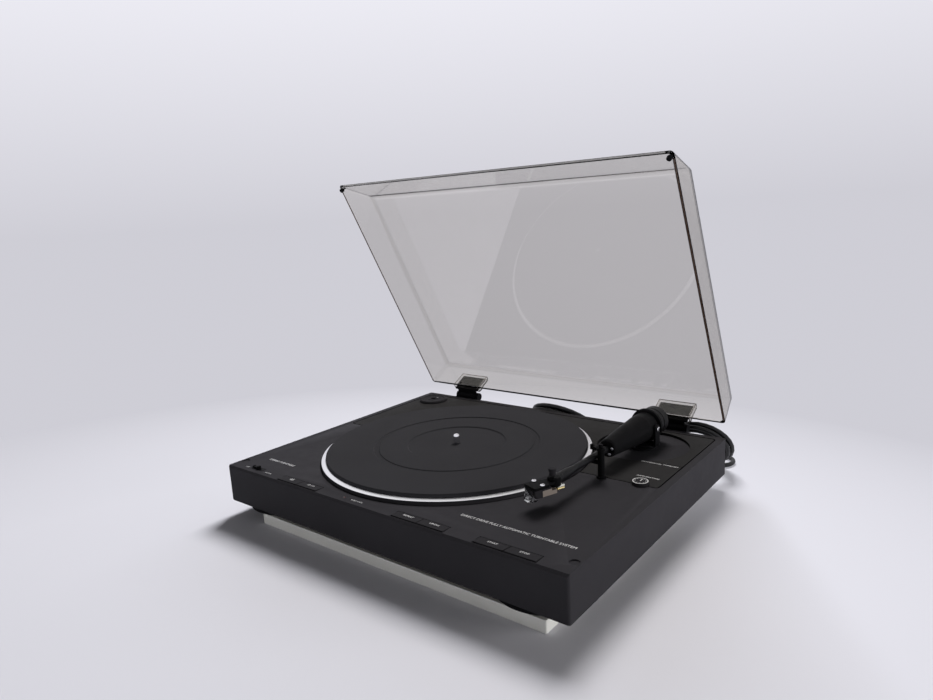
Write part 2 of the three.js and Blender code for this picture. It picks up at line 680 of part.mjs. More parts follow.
function plinth() {
  const inside = PLINTH_HEIGHT - PLINTH_TOP;
  const outline = roundedOutline(LEFT, FRONT, RIGHT, BACK, PLINTH_CORNER);
  const cavity = block(PLINTH_WIDTH - 2 * PLINTH_WALL, PLINTH_DEPTH - 2 * PLINTH_WALL, inside + OVERRUN,
    0, 0, SKIRT_Z - OVERRUN);
  const shell = cut(slab(outline, PLINTH_HEIGHT, SKIRT_Z), cavity);
  const cup = drum(WELL_RADIUS + WELL_WALL, DECK_Z - WELL_UNDER_Z - PLINTH_TOP / 2, PLATTER_X, PLATTER_Y,
    WELL_UNDER_Z, FINE_SIDES);
  const bossBottom = COVER_TOP_Z + SEAT_GAP;
  const bosses = bossPlaces().map(([x, y]) =>
    drum(BOSS_RADIUS, DECK_Z - PLINTH_TOP / 2 - bossBottom, x, y, bossBottom, TINY_SIDES));
  const solid = join(shell, cup, ...bosses, ...rodHangers());
  const rod = rodLength();
  const grown = panelBounds(PANEL_GROOVE);
  const pocketOutline = roundedOutline(grown.left, grown.front, grown.right, grown.back,
    PANEL_CORNER + PANEL_GROOVE);
  const deep = DECK_Z - SKIRT_Z;
  const tools = [
    drum(WELL_RADIUS, WELL_DEPTH + OVERRUN, PLATTER_X, PLATTER_Y, WELL_FLOOR_Z, FINE_SIDES),
    drum(DRIVE_HOLE_RADIUS, WELL_FLOOR + 2 * OVERRUN, PLATTER_X, PLATTER_Y, WELL_UNDER_Z - OVERRUN,
      ROUND_SIDES),
    slab(pocketOutline, PANEL_THICKNESS + SEAT_GAP + OVERRUN, POCKET_FLOOR_Z),
    drum(DIAL_RADIUS + RUNNING_GAP, deep, DIAL_X, DIAL_Y, POCKET_FLOOR_Z, SMALL_SIDES),
    drum(DIAL_SHAFT_RADIUS + SEAT_GAP, deep, DIAL_X, DIAL_Y, DECK_Z - deep / 2, TINY_SIDES),
    drum(ARM_COLUMN_RADIUS + SEAT_GAP, deep, ARM_X, ARM_Y, DECK_Z - deep / 2, SMALL_SIDES),
    drum(REST_CAP_RADIUS + SEAT_GAP, deep, restPlace().x, restPlace().y, POCKET_FLOOR_Z, TINY_SIDES),
    drum(LED_RADIUS + SEAT_GAP, deep, LED_X, LED_Y, DECK_Z - deep / 2, TINY_SIDES),
    block(SWITCH_TRAVEL + SWITCH_STEM + 2 * SEAT_GAP, SWITCH_DEPTH / 2 + 2 * SEAT_GAP, deep,
      SWITCH_X + SWITCH_TRAVEL / 2, SWITCH_Y, DECK_Z - deep / 2),
    axle(PLATE_ROD_RADIUS + SEAT_GAP, rod.right - rod.left, (rod.left + rod.right) / 2, ROD_Y, ROD_Z,
      TINY_SIDES),
    barAlongX([
      [FRONT - OVERRUN, DECK_Z - FRONT_BEVEL - OVERRUN],
      [FRONT + FRONT_BEVEL + OVERRUN, DECK_Z + OVERRUN],
      [FRONT - OVERRUN, DECK_Z + OVERRUN],
    ], PLINTH_WIDTH + 2 * OVERRUN, 0),
    ...platePairs().map(([, centre]) => plateOpening(centre)),
    ...SIDES.map(([, sign]) => drum(BUMPER_PAD_RADIUS, BUMPER_PAD_DEPTH + OVERRUN,
      sign * (RIGHT - BUMPER_PAD_SIDE_INSET), FRONT + BUMPER_PAD_FRONT_INSET, DECK_Z - BUMPER_PAD_DEPTH,
        SMALL_SIDES)),
    ...[MAINS_EXIT_X, AUDIO_EXIT_X].map((x) => turnedBack(
      [[0, -OVERRUN], [RELIEF_NECK_RADIUS + SEAT_GAP, -OVERRUN],
        [RELIEF_NECK_RADIUS + SEAT_GAP, PLINTH_WALL + OVERRUN], [0, PLINTH_WALL + OVERRUN]],
      SMALL_SIDES, x, BACK - PLINTH_WALL, LEAD_EXIT_Z)),
  ];
  return cut(solid, ...tools);
}

function deckPanel() {
  const edge = panelBounds(0);
  const bottom = DECK_Z - PANEL_THICKNESS;
  const plate = slab(roundedOutline(edge.left, edge.front, edge.right, edge.back, PANEL_CORNER),
    PANEL_THICKNESS, bottom);
  const through = PANEL_THICKNESS + 2 * OVERRUN;
  const lineY = BACK - PANEL_LINE_FROM_BACK;
  const lineLeft = ARM_X;
  const tools = [
    drum(WELL_RADIUS, through, PLATTER_X, PLATTER_Y, bottom - OVERRUN, FINE_SIDES),
    drum(ARM_WELL_RADIUS, through, ARM_X, ARM_Y, bottom - OVERRUN, FINE_SIDES),
    drum(ADAPTOR_RADIUS + RUNNING_GAP, through, ADAPTOR_X, ADAPTOR_Y, bottom - OVERRUN, ROUND_SIDES),
    drum(DIAL_RADIUS + RUNNING_GAP, through, DIAL_X, DIAL_Y, bottom - OVERRUN, SMALL_SIDES),
    block(edge.right + OVERRUN - lineLeft, PANEL_LINE_WIDTH, PANEL_LINE_DEPTH + OVERRUN,
      (edge.right + OVERRUN + lineLeft) / 2, lineY, DECK_Z - PANEL_LINE_DEPTH),
  ];
  return cut(plate, ...tools);
}

// Deck fittings

function adaptor() {
  const bottom = DECK_Z + ADAPTOR_RISE - ADAPTOR_HEIGHT;
  const top = DECK_Z + ADAPTOR_RISE;
  const slope = ADAPTOR_RISE / 2;
  return turned([
    [ADAPTOR_BORE_RADIUS, bottom],
    [ADAPTOR_RADIUS, bottom],
    [ADAPTOR_RADIUS, top - slope],
    [ADAPTOR_RADIUS - slope, top],
    [ADAPTOR_BORE_RADIUS, top],
    [ADAPTOR_BORE_RADIUS, bottom],
  ], ROUND_SIDES).translate(ADAPTOR_X, ADAPTOR_Y, 0);
}

function dial() {
  const bottom = POCKET_FLOOR_Z + SEAT_GAP;
  const top = DECK_Z + DIAL_RISE;
  return turned([
    [0, bottom - DIAL_SHAFT_LENGTH],
    [DIAL_SHAFT_RADIUS, bottom - DIAL_SHAFT_LENGTH],
    [DIAL_SHAFT_RADIUS, bottom],
    [DIAL_RADIUS, bottom],
    [DIAL_RADIUS, top - SEAT_GAP],
    [DIAL_RADIUS - SEAT_GAP, top],
    [0, top],
  ], SMALL_SIDES).translate(DIAL_X, DIAL_Y, 0);
}

function lamp() {
  const under = DECK_Z - PLINTH_TOP - SEAT_GAP;
  return turned([
    [0, DECK_Z - LED_LENGTH],
    [LED_FLANGE_RADIUS, DECK_Z - LED_LENGTH],
    [LED_FLANGE_RADIUS, under],
    [LED_RADIUS, under],
    [LED_RADIUS, DECK_Z],
    [LED_RADIUS / 2, DECK_Z + LED_RADIUS / 2],
    [0, DECK_Z + LED_RADIUS / 2],
  ], TINY_SIDES).translate(LED_X, LED_Y, 0);
}

function powerSwitch() {
  const top = DECK_Z + SWITCH_RISE;
  const cap = block(SWITCH_WIDTH, SWITCH_DEPTH, SWITCH_RISE - SEAT_GAP, SWITCH_X, SWITCH_Y,
    DECK_Z + SEAT_GAP);
  const notch = block(SWITCH_WIDTH / 3, SWITCH_DEPTH + OVERRUN, SWITCH_RISE / 3 + OVERRUN, SWITCH_X, SWITCH_Y,
    top - SWITCH_RISE / 3);
  const stemHeight = PLINTH_TOP + SWITCH_RISE;
  const stem = block(SWITCH_STEM, SWITCH_DEPTH / 2, stemHeight, SWITCH_X, SWITCH_Y,
    DECK_Z + SWITCH_RISE / 2 - stemHeight);
  const foot = block(SWITCH_WIDTH, SWITCH_DEPTH, SWITCH_RISE / 2, SWITCH_X, SWITCH_Y,
    DECK_Z - PLINTH_TOP - SEAT_GAP - SWITCH_RISE / 2);
  return join(cut(cap, notch), stem, foot);
}

function touchPlate(x) {
  const y = (PLATE_FRONT_Y + PLATE_BACK_Y) / 2;
  const bottom = DECK_Z - PLATE_THICKNESS;
  const plate = block(PLATE_WIDTH, PLATE_DEPTH, PLATE_THICKNESS, x, y, bottom);
  const stem = block(PLATE_STEM_WIDTH, PLATE_STEM_DEPTH, PLATE_STEM_LENGTH + PLATE_THICKNESS / 2, x,
    PLATE_FRONT_Y + PLATE_STEM_DEPTH, bottom - PLATE_STEM_LENGTH);
  const lugs = [-1, 1].flatMap((end) => {
    const lugX = x + end * (PLATE_WIDTH - PLATE_LUG_WIDTH) / 2;
    return [
      block(PLATE_LUG_WIDTH, 2 * PLATE_LUG_RADIUS, bottom + PLATE_THICKNESS / 2 - ROD_Z, lugX, ROD_Y, ROD_Z),
      axle(PLATE_LUG_RADIUS, PLATE_LUG_WIDTH, lugX, ROD_Y, ROD_Z, TINY_SIDES),
    ];
  });
  const bore = axle(PLATE_ROD_RADIUS + SEAT_GAP, PLATE_WIDTH + 2 * OVERRUN, x, ROD_Y, ROD_Z, TINY_SIDES);
  return cut(join(plate, stem, ...lugs), bore);
}

function plateRod() {
  const ends = rodLength();
  return axle(PLATE_ROD_RADIUS, ends.right - ends.left - 2 * OVERRUN, (ends.left + ends.right) / 2,
    ROD_Y, ROD_Z,
    TINY_SIDES);
}

// Platter and drive

function platter() {
  const skirt = DECK_Z - PLATTER_SKIRT_DROP;
  const under = DECK_Z + PLATTER_TOP_RISE - PLATTER_WALL;
  const hubBottom = DECK_Z - PLATTER_SKIRT_DROP;
  const bore = SPINDLE_RADIUS + SEAT_GAP;
  return turned([
    [bore, hubBottom],
    [PLATTER_HUB_RADIUS, hubBottom],
    [PLATTER_HUB_RADIUS, under],
    [PLATTER_RADIUS - PLATTER_WALL, under],
    [PLATTER_RADIUS - PLATTER_WALL, skirt],
    [PLATTER_RADIUS, skirt],
    [PLATTER_RADIUS, DECK_Z + PLATTER_EDGE_RISE],
    [PLATTER_LIP_RADIUS, DECK_Z + PLATTER_LIP_RISE],
    [PLATTER_LIP_RADIUS, DECK_Z + PLATTER_TOP_RISE],
    [bore, DECK_Z + PLATTER_TOP_RISE],
    [bore, hubBottom],
  ], FINE_SIDES).translate(PLATTER_X, PLATTER_Y, 0);
}

function platterMat() {
  const bottom = DECK_Z + PLATTER_TOP_RISE + SEAT_GAP;
  const top = DECK_Z + MAT_RISE;
  const bore = SPINDLE_RADIUS + SEAT_GAP;
  return turned([
    [bore, bottom],
    [MAT_RADIUS, bottom],
    [MAT_RADIUS, top - MAT_EDGE],
    [MAT_RADIUS - MAT_EDGE, top],
    [MAT_STEP_OUTER_RADIUS, top],
    [MAT_STEP_OUTER_RADIUS - MAT_STEP_DEPTH, top - MAT_STEP_DEPTH],
    [MAT_STEP_INNER_RADIUS, top - MAT_STEP_DEPTH],
    [MAT_LABEL_RADIUS + MAT_LABEL_DEPTH, top - MAT_STEP_DEPTH],
    [MAT_LABEL_RADIUS, top - MAT_LABEL_DEPTH],
    [bore, top - MAT_LABEL_DEPTH],
    [bore, bottom],
  ], FINE_SIDES).translate(PLATTER_X, PLATTER_Y, 0);
}

function spindle() {
  const tip = DECK_Z + SPINDLE_RISE;
  const flangeTop = DECK_Z - PLATTER_SKIRT_DROP - SEAT_GAP;
  const flangeBottom = flangeTop - SPINDLE_FLANGE_HEIGHT;
  return turned([
    [0, DECK_Z - SPINDLE_DEPTH],
    [SPINDLE_RADIUS, DECK_Z - SPINDLE_DEPTH],
    [SPINDLE_RADIUS, flangeBottom],
    [SPINDLE_FLANGE_RADIUS, flangeBottom],
    [SPINDLE_FLANGE_RADIUS, flangeTop],
    [SPINDLE_RADIUS, flangeTop],
    [SPINDLE_RADIUS, tip - SPINDLE_TIP],
    [SPINDLE_RADIUS - SPINDLE_TIP, tip],
    [0, tip],
  ], SMALL_SIDES).translate(PLATTER_X, PLATTER_Y, 0);
}

function statorBottom() {
  return WELL_UNDER_Z - SEAT_GAP - STATOR_PLATE;
}

function bearing() {
  const top = DECK_Z - PLATTER_SKIRT_DROP - 3 * SEAT_GAP - SPINDLE_FLANGE_HEIGHT;
  const bottom = DECK_Z - SPINDLE_DEPTH - BEARING_END;
  const flangeTop = statorBottom() - SEAT_GAP;
  const bore = SPINDLE_RADIUS + SEAT_GAP;
  return turned([
    [0, bottom],
    [BEARING_RADIUS, bottom],
    [BEARING_RADIUS, flangeTop - BEARING_FLANGE_HEIGHT],
    [BEARING_FLANGE_RADIUS, flangeTop - BEARING_FLANGE_HEIGHT],
    [BEARING_FLANGE_RADIUS, flangeTop],
    [BEARING_RADIUS, flangeTop],
    [BEARING_RADIUS, top],
    [bore, top],
    [bore, DECK_Z - SPINDLE_DEPTH - SEAT_GAP],
    [0, DECK_Z - SPINDLE_DEPTH - SEAT_GAP],
  ], SMALL_SIDES).translate(PLATTER_X, PLATTER_Y, 0);
}

function rotor() {
  const top = DECK_Z + PLATTER_TOP_RISE - PLATTER_WALL - SEAT_GAP;
  const inside = ROTOR_OUTER_RADIUS - ROTOR_WIDTH;
  return turned([
    [inside, top - ROTOR_HEIGHT],
    [ROTOR_OUTER_RADIUS, top - ROTOR_HEIGHT],
    [ROTOR_OUTER_RADIUS, top],
    [inside, top],
    [inside, top - ROTOR_HEIGHT],
  ], ROUND_SIDES).translate(PLATTER_X, PLATTER_Y, 0);
}

function stator() {
  const bottom = statorBottom();
  const plate = drum(STATOR_RADIUS, STATOR_PLATE, PLATTER_X, PLATTER_Y, bottom, ROUND_SIDES);
  const coils = [];
  for (let i = 0; i < COIL_COUNT; i += 1) {
    const angle = (i * 2 * Math.PI) / COIL_COUNT;
    const x = PLATTER_X + COIL_RING_RADIUS * Math.cos(angle);
    const y = PLATTER_Y + COIL_RING_RADIUS * Math.sin(angle);
    coils.push(drum(COIL_RADIUS, COIL_HEIGHT + STATOR_PLATE / 2, x, y, bottom + STATOR_PLATE / 2,
      TINY_SIDES));
  }
  const hole = drum(BEARING_RADIUS + SEAT_GAP, STATOR_PLATE + 2 * OVERRUN, PLATTER_X, PLATTER_Y,
    bottom - OVERRUN,
    SMALL_SIDES);
  return cut(join(plate, ...coils), hole);
}

function transformer() {
  const x = LEFT + TRANSFORMER_SIDE_INSET;
  const y = BACK - TRANSFORMER_BACK_INSET;
  const bottom = COVER_TOP_Z + SEAT_GAP;
  const plate = block(TRANSFORMER_WIDTH + 2 * TRANSFORMER_FLANGE, TRANSFORMER_DEPTH, TRANSFORMER_PLATE,
    x, y, bottom);
  const core = block(TRANSFORMER_WIDTH, TRANSFORMER_DEPTH - TRANSFORMER_FLANGE, TRANSFORMER_HEIGHT, x,
    y, bottom);
  const winding = block(TRANSFORMER_WIDTH / 2, TRANSFORMER_DEPTH, TRANSFORMER_HEIGHT * 0.7, x, y,
    bottom + TRANSFORMER_HEIGHT * 0.15);
  return join(plate, core, winding);
}

function controlBoard() {
  const y = FRONT + CONTROL_FRONT_INSET;
  const bottom = COVER_TOP_Z + SEAT_GAP;
  const boardZ = bottom + CONTROL_STANDOFF;
  const width = 2 * (RIGHT - FOOT_SIDE_INSET - FOOT_SNAP_RADIUS - CONTROL_FOOT_GAP);
  const board = block(width, CONTROL_DEPTH, CONTROL_BOARD, 0, y, boardZ);
  const legs = [-1, 1].flatMap((across) => [-1, 1].map((along) => drum(CONTROL_STANDOFF_RADIUS,
    CONTROL_STANDOFF + CONTROL_BOARD / 2,
    across * (width / 2 - 2 * CONTROL_STANDOFF_RADIUS),
    y + along * (CONTROL_DEPTH / 2 - 2 * CONTROL_STANDOFF_RADIUS), bottom, TINY_SIDES)));
  const chips = [-1, 0, 1].map((place) => block(CONTROL_CHIP_WIDTH, CONTROL_CHIP_DEPTH,
    CONTROL_CHIP_HEIGHT + CONTROL_BOARD / 2, place * width / 3, y, boardZ + CONTROL_BOARD / 2));
  return join(board, ...legs, ...chips);
}

// Tonearm, modelled about its pivot with the arm pointing to the front

function alongArm(distance, aside) {
  const angle = ARM_PARK_ANGLE * DEGREE;
  return {
    x: ARM_X + distance * Math.sin(angle) + aside * Math.cos(angle),
    y: ARM_Y - distance * Math.cos(angle) + aside * Math.sin(angle),
  };
}

function restPlace() {
  return alongArm(REST_ALONG, REST_ASIDE);
}

function armBase() {
  const bottom = POCKET_FLOOR_Z + SEAT_GAP;
  const bore = ARM_SHAFT_RADIUS + SEAT_GAP;
  const sleeve = DECK_Z - PLINTH_TOP - ARM_SLEEVE_DEPTH;
  return turned([
    [bore, sleeve],
    [ARM_COLUMN_RADIUS, sleeve],
    [ARM_COLUMN_RADIUS, bottom],
    [ARM_BASE_RADIUS, bottom],
    [ARM_BASE_RADIUS, bottom + ARM_BASE_FLANGE],
    [ARM_COLUMN_RADIUS, bottom + ARM_BASE_FLANGE],
    [ARM_COLUMN_RADIUS, DECK_Z + ARM_COLUMN_TOP],
    [bore, DECK_Z + ARM_COLUMN_TOP],
    [bore, sleeve],
  ], SMALL_SIDES).translate(ARM_X, ARM_Y, 0);
}

function yokeEarInside() {
  return HOUSING_BACK_RADIUS + SEAT_GAP;
}

function armYoke() {
  const barBottom = ARM_COLUMN_TOP + SEAT_GAP - ARM_RISE;
  const earInside = yokeEarInside();
  const width = 2 * (earInside + YOKE_EAR_THICKNESS);
  const bar = block(width, YOKE_BAR_LENGTH, YOKE_BAR_THICKNESS, 0, 0, barBottom);
  const ears = [-1, 1].map((sign) => {
    const x = sign * (earInside + YOKE_EAR_THICKNESS / 2);
    const height = YOKE_EAR_RISE - barBottom;
    const ear = block(YOKE_EAR_THICKNESS, YOKE_BAR_LENGTH, height, x, 0, barBottom);
    return cut(ear, axle(PIVOT_SCREW_RADIUS + SEAT_GAP, YOKE_EAR_THICKNESS + 2 * OVERRUN, x, 0, 0,
      TINY_SIDES));
  });
  const shaftTop = barBottom + YOKE_BAR_THICKNESS / 2;
  const shaft = drum(ARM_SHAFT_RADIUS, ARM_SHAFT_DEPTH + ARM_COLUMN_TOP, 0, 0,
    shaftTop - ARM_SHAFT_DEPTH - ARM_COLUMN_TOP, SMALL_SIDES);
  return join(bar, ...ears, shaft);
}

function pivotScrew(sign) {
  const inside = yokeEarInside() - PIVOT_SCREW_REACH;
  const outside = yokeEarInside() + YOKE_EAR_THICKNESS + SEAT_GAP;
  const shank = axle(PIVOT_SCREW_RADIUS, outside - inside + PIVOT_SCREW_HEAD / 2,
    sign * (inside + outside + PIVOT_SCREW_HEAD / 2) / 2, 0, 0, TINY_SIDES);
  const head = axle(PIVOT_SCREW_HEAD_RADIUS, PIVOT_SCREW_HEAD, sign * (outside + PIVOT_SCREW_HEAD / 2), 0, 0,
    SMALL_SIDES);
  return join(shank, head);
}

function armHousing() {
  const body = turnedForward([
    [0, -HOUSING_BACK - STUB_LENGTH],
    [STUB_RADIUS, -HOUSING_BACK - STUB_LENGTH],
    [STUB_RADIUS, -HOUSING_BACK],
    [HOUSING_BACK_RADIUS, -HOUSING_BACK],
    [HOUSING_BACK_RADIUS, YOKE_BAR_LENGTH],
    [HOUSING_FRONT_RADIUS, HOUSING_FRONT - HOUSING_NOSE_LENGTH],
    [HOUSING_NOSE_RADIUS, HOUSING_FRONT],
    [0, HOUSING_FRONT],
  ], ROUND_SIDES);
  const bore = turnedForward([
    [0, HOUSING_FRONT - HOUSING_BORE_DEPTH],
    [TUBE_RADIUS + SEAT_GAP, HOUSING_FRONT - HOUSING_BORE_DEPTH],
    [TUBE_RADIUS + SEAT_GAP, HOUSING_FRONT + OVERRUN],
    [0, HOUSING_FRONT + OVERRUN],
  ], SMALL_SIDES);
  const sockets = [-1, 1].map((sign) => axle(PIVOT_SCREW_RADIUS + SEAT_GAP, 2 * PIVOT_SCREW_REACH,
    sign * (HOUSING_BACK_RADIUS), 0, 0, TINY_SIDES));
  return cut(body, bore, ...sockets);
}

function counterweight() {
  const front = -HOUSING_BACK - SEAT_GAP;
  const groove = front - (WEIGHT_FLANGE_LENGTH - WEIGHT_GROOVE_WIDTH) / 2;
  const back = front - WEIGHT_TRAVEL / 2 - WEIGHT_LENGTH;
  const bore = STUB_RADIUS + SEAT_GAP;
  return turnedForward([
    [bore, back],
    [WEIGHT_RADIUS - WEIGHT_GROOVE_DEPTH, back],
    [WEIGHT_RADIUS, back + WEIGHT_GROOVE_DEPTH],
    [WEIGHT_RADIUS, front - WEIGHT_FLANGE_LENGTH],
    [WEIGHT_FLANGE_RADIUS, front - WEIGHT_FLANGE_LENGTH],
    [WEIGHT_FLANGE_RADIUS, groove - WEIGHT_GROOVE_WIDTH],
    [WEIGHT_FLANGE_RADIUS - WEIGHT_GROOVE_DEPTH, groove - WEIGHT_GROOVE_WIDTH],
    [WEIGHT_FLANGE_RADIUS - WEIGHT_GROOVE_DEPTH, groove],
    [WEIGHT_FLANGE_RADIUS, groove],
    [WEIGHT_FLANGE_RADIUS, front],
    [bore, front],
    [bore, back],
  ], ROUND_SIDES);
}

function armTube() {
  return turnedForward([
    [0, HOUSING_FRONT - HOUSING_BORE_DEPTH + SEAT_GAP],
    [TUBE_RADIUS, HOUSING_FRONT - HOUSING_BORE_DEPTH + SEAT_GAP],
    [TUBE_RADIUS, TUBE_END - TUBE_NECK_LENGTH],
    [TUBE_NECK_RADIUS, TUBE_END - TUBE_NECK_LENGTH + TUBE_NECK_TAPER],
    [TUBE_NECK_RADIUS, TUBE_END],
    [0, TUBE_END],
  ], SMALL_SIDES);
}

function headshell() {
  const rear = drum(HEAD_REAR_RADIUS, HEAD_REAR_DROP + HEAD_REAR_RISE, 0, 0, -HEAD_REAR_DROP, SMALL_SIDES);
  const outline = polygon([
    [-HEAD_NECK_WIDTH / 2, 0],
    [-HEAD_NECK_WIDTH / 2, -HEAD_NECK_LENGTH],
    [-HEAD_PLATE_WIDTH / 2, -HEAD_NECK_LENGTH - HEAD_PLATE_THICKNESS],
    [-HEAD_PLATE_WIDTH / 2, -HEAD_PLATE_LENGTH],
    [HEAD_PLATE_WIDTH / 2, -HEAD_PLATE_LENGTH],
    [HEAD_PLATE_WIDTH / 2, -HEAD_NECK_LENGTH - HEAD_PLATE_THICKNESS],
    [HEAD_NECK_WIDTH / 2, -HEAD_NECK_LENGTH],
    [HEAD_NECK_WIDTH / 2, 0],
  ]);
  const plate = slab(outline, HEAD_PLATE_THICKNESS, HEAD_PLATE_TOP - HEAD_PLATE_THICKNESS);
  const holes = [-1, 1].map((sign) => drum(HEAD_SCREW_HOLE_RADIUS, HEAD_PLATE_THICKNESS + 2 * OVERRUN,
    sign * HEAD_SCREW_SPACING / 2, -HEAD_SCREW_AT, HEAD_PLATE_TOP - HEAD_PLATE_THICKNESS - OVERRUN,
      TINY_SIDES));
  const socketEnd = TUBE_END - HEAD_BEND - SEAT_GAP;
  const socket = turnedForward([
    [0, socketEnd - OVERRUN * 4],
    [TUBE_NECK_RADIUS * 2, socketEnd - OVERRUN * 4],
    [TUBE_NECK_RADIUS * 2, socketEnd + SEAT_GAP * 2],
    [0, socketEnd + SEAT_GAP * 2],
  ], TINY_SIDES).rotateZ(-HEAD_OFFSET_ANGLE * DEGREE);
  return cut(join(rear, plate), socket, ...holes);
}

function lockKnob() {
  return turned([
    [0, HEAD_REAR_RISE + SEAT_GAP],
    [LOCK_KNOB_RADIUS, HEAD_REAR_RISE + SEAT_GAP],
    [LOCK_KNOB_RADIUS, HEAD_REAR_RISE + LOCK_KNOB_HEIGHT - SEAT_GAP],
    [LOCK_KNOB_RADIUS - SEAT_GAP, HEAD_REAR_RISE + LOCK_KNOB_HEIGHT],
    [0, HEAD_REAR_RISE + LOCK_KNOB_HEIGHT],
  ], SMALL_SIDES).translate(LOCK_KNOB_SHIFT, 0, 0);
}

function cartridgeTop() {
  return HEAD_PLATE_TOP - HEAD_PLATE_THICKNESS - SEAT_GAP;
}

function cartridge() {
  const top = cartridgeTop();
  const step = -CARTRIDGE_FRONT + CARTRIDGE_LENGTH;
  const rear = step + CARTRIDGE_TAIL;
  const body = barAlongX([
    [-CARTRIDGE_FRONT, top],
    [step, top],
    [step, -HEAD_REAR_DROP - SEAT_GAP],
    [rear, -HEAD_REAR_DROP - SEAT_GAP],
    [rear, top - CARTRIDGE_HEIGHT],
    [-CARTRIDGE_FRONT + CARTRIDGE_NOSE, top - CARTRIDGE_HEIGHT],
    [-CARTRIDGE_FRONT, top - CARTRIDGE_HEIGHT + CARTRIDGE_NOSE],
  ], CARTRIDGE_WIDTH, 0);
  const pins = [-1, 1].flatMap((across) => [-1, 1].map((up) => turnedBack([
    [0, -CARTRIDGE_NOSE],
    [CARTRIDGE_PIN_RADIUS, -CARTRIDGE_NOSE],
    [CARTRIDGE_PIN_RADIUS, CARTRIDGE_PIN_LENGTH],
    [0, CARTRIDGE_PIN_LENGTH],
  ], TINY_SIDES, across * CARTRIDGE_PIN_SPACING / 2, rear,
  top - CARTRIDGE_HEIGHT * 0.75 + up * CARTRIDGE_PIN_SPACING / 3)));
  return join(body, ...pins);
}

function stylus() {
  const top = cartridgeTop() - CARTRIDGE_HEIGHT - SEAT_GAP;
  const front = -CARTRIDGE_FRONT + STYLUS_FROM_FRONT;
  return barAlongX([
    [front, top],
    [front, top - STYLUS_HEIGHT],
    [front + STYLUS_HEIGHT, top - STYLUS_HEIGHT],
    [front + STYLUS_LENGTH, top - STYLUS_HEIGHT / 2],
    [front + STYLUS_LENGTH, top],
  ], STYLUS_WIDTH, 0);
}

function stylusGuard() {
  const top = cartridgeTop();
  const face = -CARTRIDGE_FRONT - SEAT_GAP;
  const bottom = top - GUARD_DROP;
  const strap = barAlongX([
    [face, top],
    [face, top - CARTRIDGE_HEIGHT / 2],
    [face - GUARD_STANDOFF, bottom + GUARD_THICKNESS],
    [face - GUARD_STANDOFF + GUARD_LENGTH, bottom + GUARD_THICKNESS],
    [face - GUARD_STANDOFF + GUARD_LENGTH, bottom],
    [face - GUARD_STANDOFF - GUARD_THICKNESS, bottom],
    [face - GUARD_THICKNESS, top - CARTRIDGE_HEIGHT / 2],
    [face - GUARD_THICKNESS, top],
  ], GUARD_WIDTH, 0);
  const grip = barAlongX([
    [face - GUARD_THICKNESS / 2, top - CARTRIDGE_HEIGHT / 2],
    [face - GUARD_STANDOFF - GUARD_THICKNESS / 2, bottom],
    [face - 2 * GUARD_STANDOFF - GUARD_THICKNESS, bottom],
  ], GUARD_GRIP_WIDTH, 0);
  return join(strap, grip);
}

function armRest() {
  const place = restPlace();
  const bottom = POCKET_FLOOR_Z + SEAT_GAP;
  const post = turned([
    [0, bottom],
    [REST_CAP_RADIUS, bottom],
    [REST_CAP_RADIUS, DECK_Z + SEAT_GAP],
    [REST_FOOT_RADIUS, DECK_Z + SEAT_GAP],
    [REST_FOOT_RADIUS, DECK_Z + REST_FOOT_HEIGHT],
    [REST_RADIUS, DECK_Z + REST_FOOT_HEIGHT],
    [REST_RADIUS, DECK_Z + REST_TOP],
    [REST_CAP_RADIUS, DECK_Z + REST_TOP],
    [REST_CAP_RADIUS, DECK_Z + REST_STEM_TOP],
    [0, DECK_Z + REST_STEM_TOP],
  ], SMALL_SIDES);
  const cradleTop = ARM_Z - TUBE_RADIUS - SEAT_GAP;
  const reach = REST_ASIDE + TUBE_RADIUS;
  const cradle = block(reach, REST_CRADLE_DEPTH, REST_CRADLE_THICKNESS, -reach / 2, 0,
    cradleTop - REST_CRADLE_THICKNESS);
  const turn = ARM_PARK_ANGLE * DEGREE;
  return join(post, cradle.rotateZ(turn)).translate(place.x, place.y, 0);
}

function restLatch() {
  const place = restPlace();
  const bottom = DECK_Z + REST_TOP + SEAT_GAP;
  const ring = drum(LATCH_RING_RADIUS, LATCH_THICKNESS, 0, 0, bottom, SMALL_SIDES);
  const arm = block(LATCH_REACH, LATCH_WIDTH, LATCH_THICKNESS, -LATCH_REACH / 2, 0, bottom);
  const grip = block(LATCH_THICKNESS, LATCH_WIDTH, LATCH_THICKNESS + LATCH_GRIP_HEIGHT,
    -LATCH_REACH + LATCH_THICKNESS / 2, 0, bottom);
  const bore = drum(REST_CAP_RADIUS + SEAT_GAP, LATCH_THICKNESS + 2 * OVERRUN, 0, 0, bottom - OVERRUN,
    TINY_SIDES);
  return cut(join(ring, arm, grip), bore).translate(place.x, place.y, 0);
}

// Dust cover, modelled about the hinge axis in its closed place

function lidRim() {
  return LID_RIM_RISE - HINGE_RISE;
}

function lidBackY() {
  return -LID_REAR_INSET - HINGE_BEHIND;
}

function lidForm(shrink, drop) {
  const half = LID_WIDTH / 2;
  const back = lidBackY();
  const front = back - LID_DEPTH;
  const rim = lidRim();
  const points = [];
  [-1, 1].forEach((sign) => {
    points.push(new THREE.Vector3(sign * (half - shrink), front + shrink, rim - drop));
    points.push(new THREE.Vector3(sign * (half - shrink), back - shrink, rim - drop));
    points.push(new THREE.Vector3(sign * (half - shrink - LID_SIDE_DRAFT), back - shrink - LID_REAR_DRAFT,
      rim + LID_HEIGHT - shrink));
    points.push(new THREE.Vector3(sign * (half - shrink - LID_SIDE_DRAFT), front + shrink + LID_FRONT_DRAFT,
      rim + LID_HEIGHT - shrink));
  });
  return new ConvexGeometry(points);
}

function pocketDepth() {
  return HINGE_TONGUE_THICKNESS + 2 * SEAT_GAP + 2 * POCKET_WALL;
}

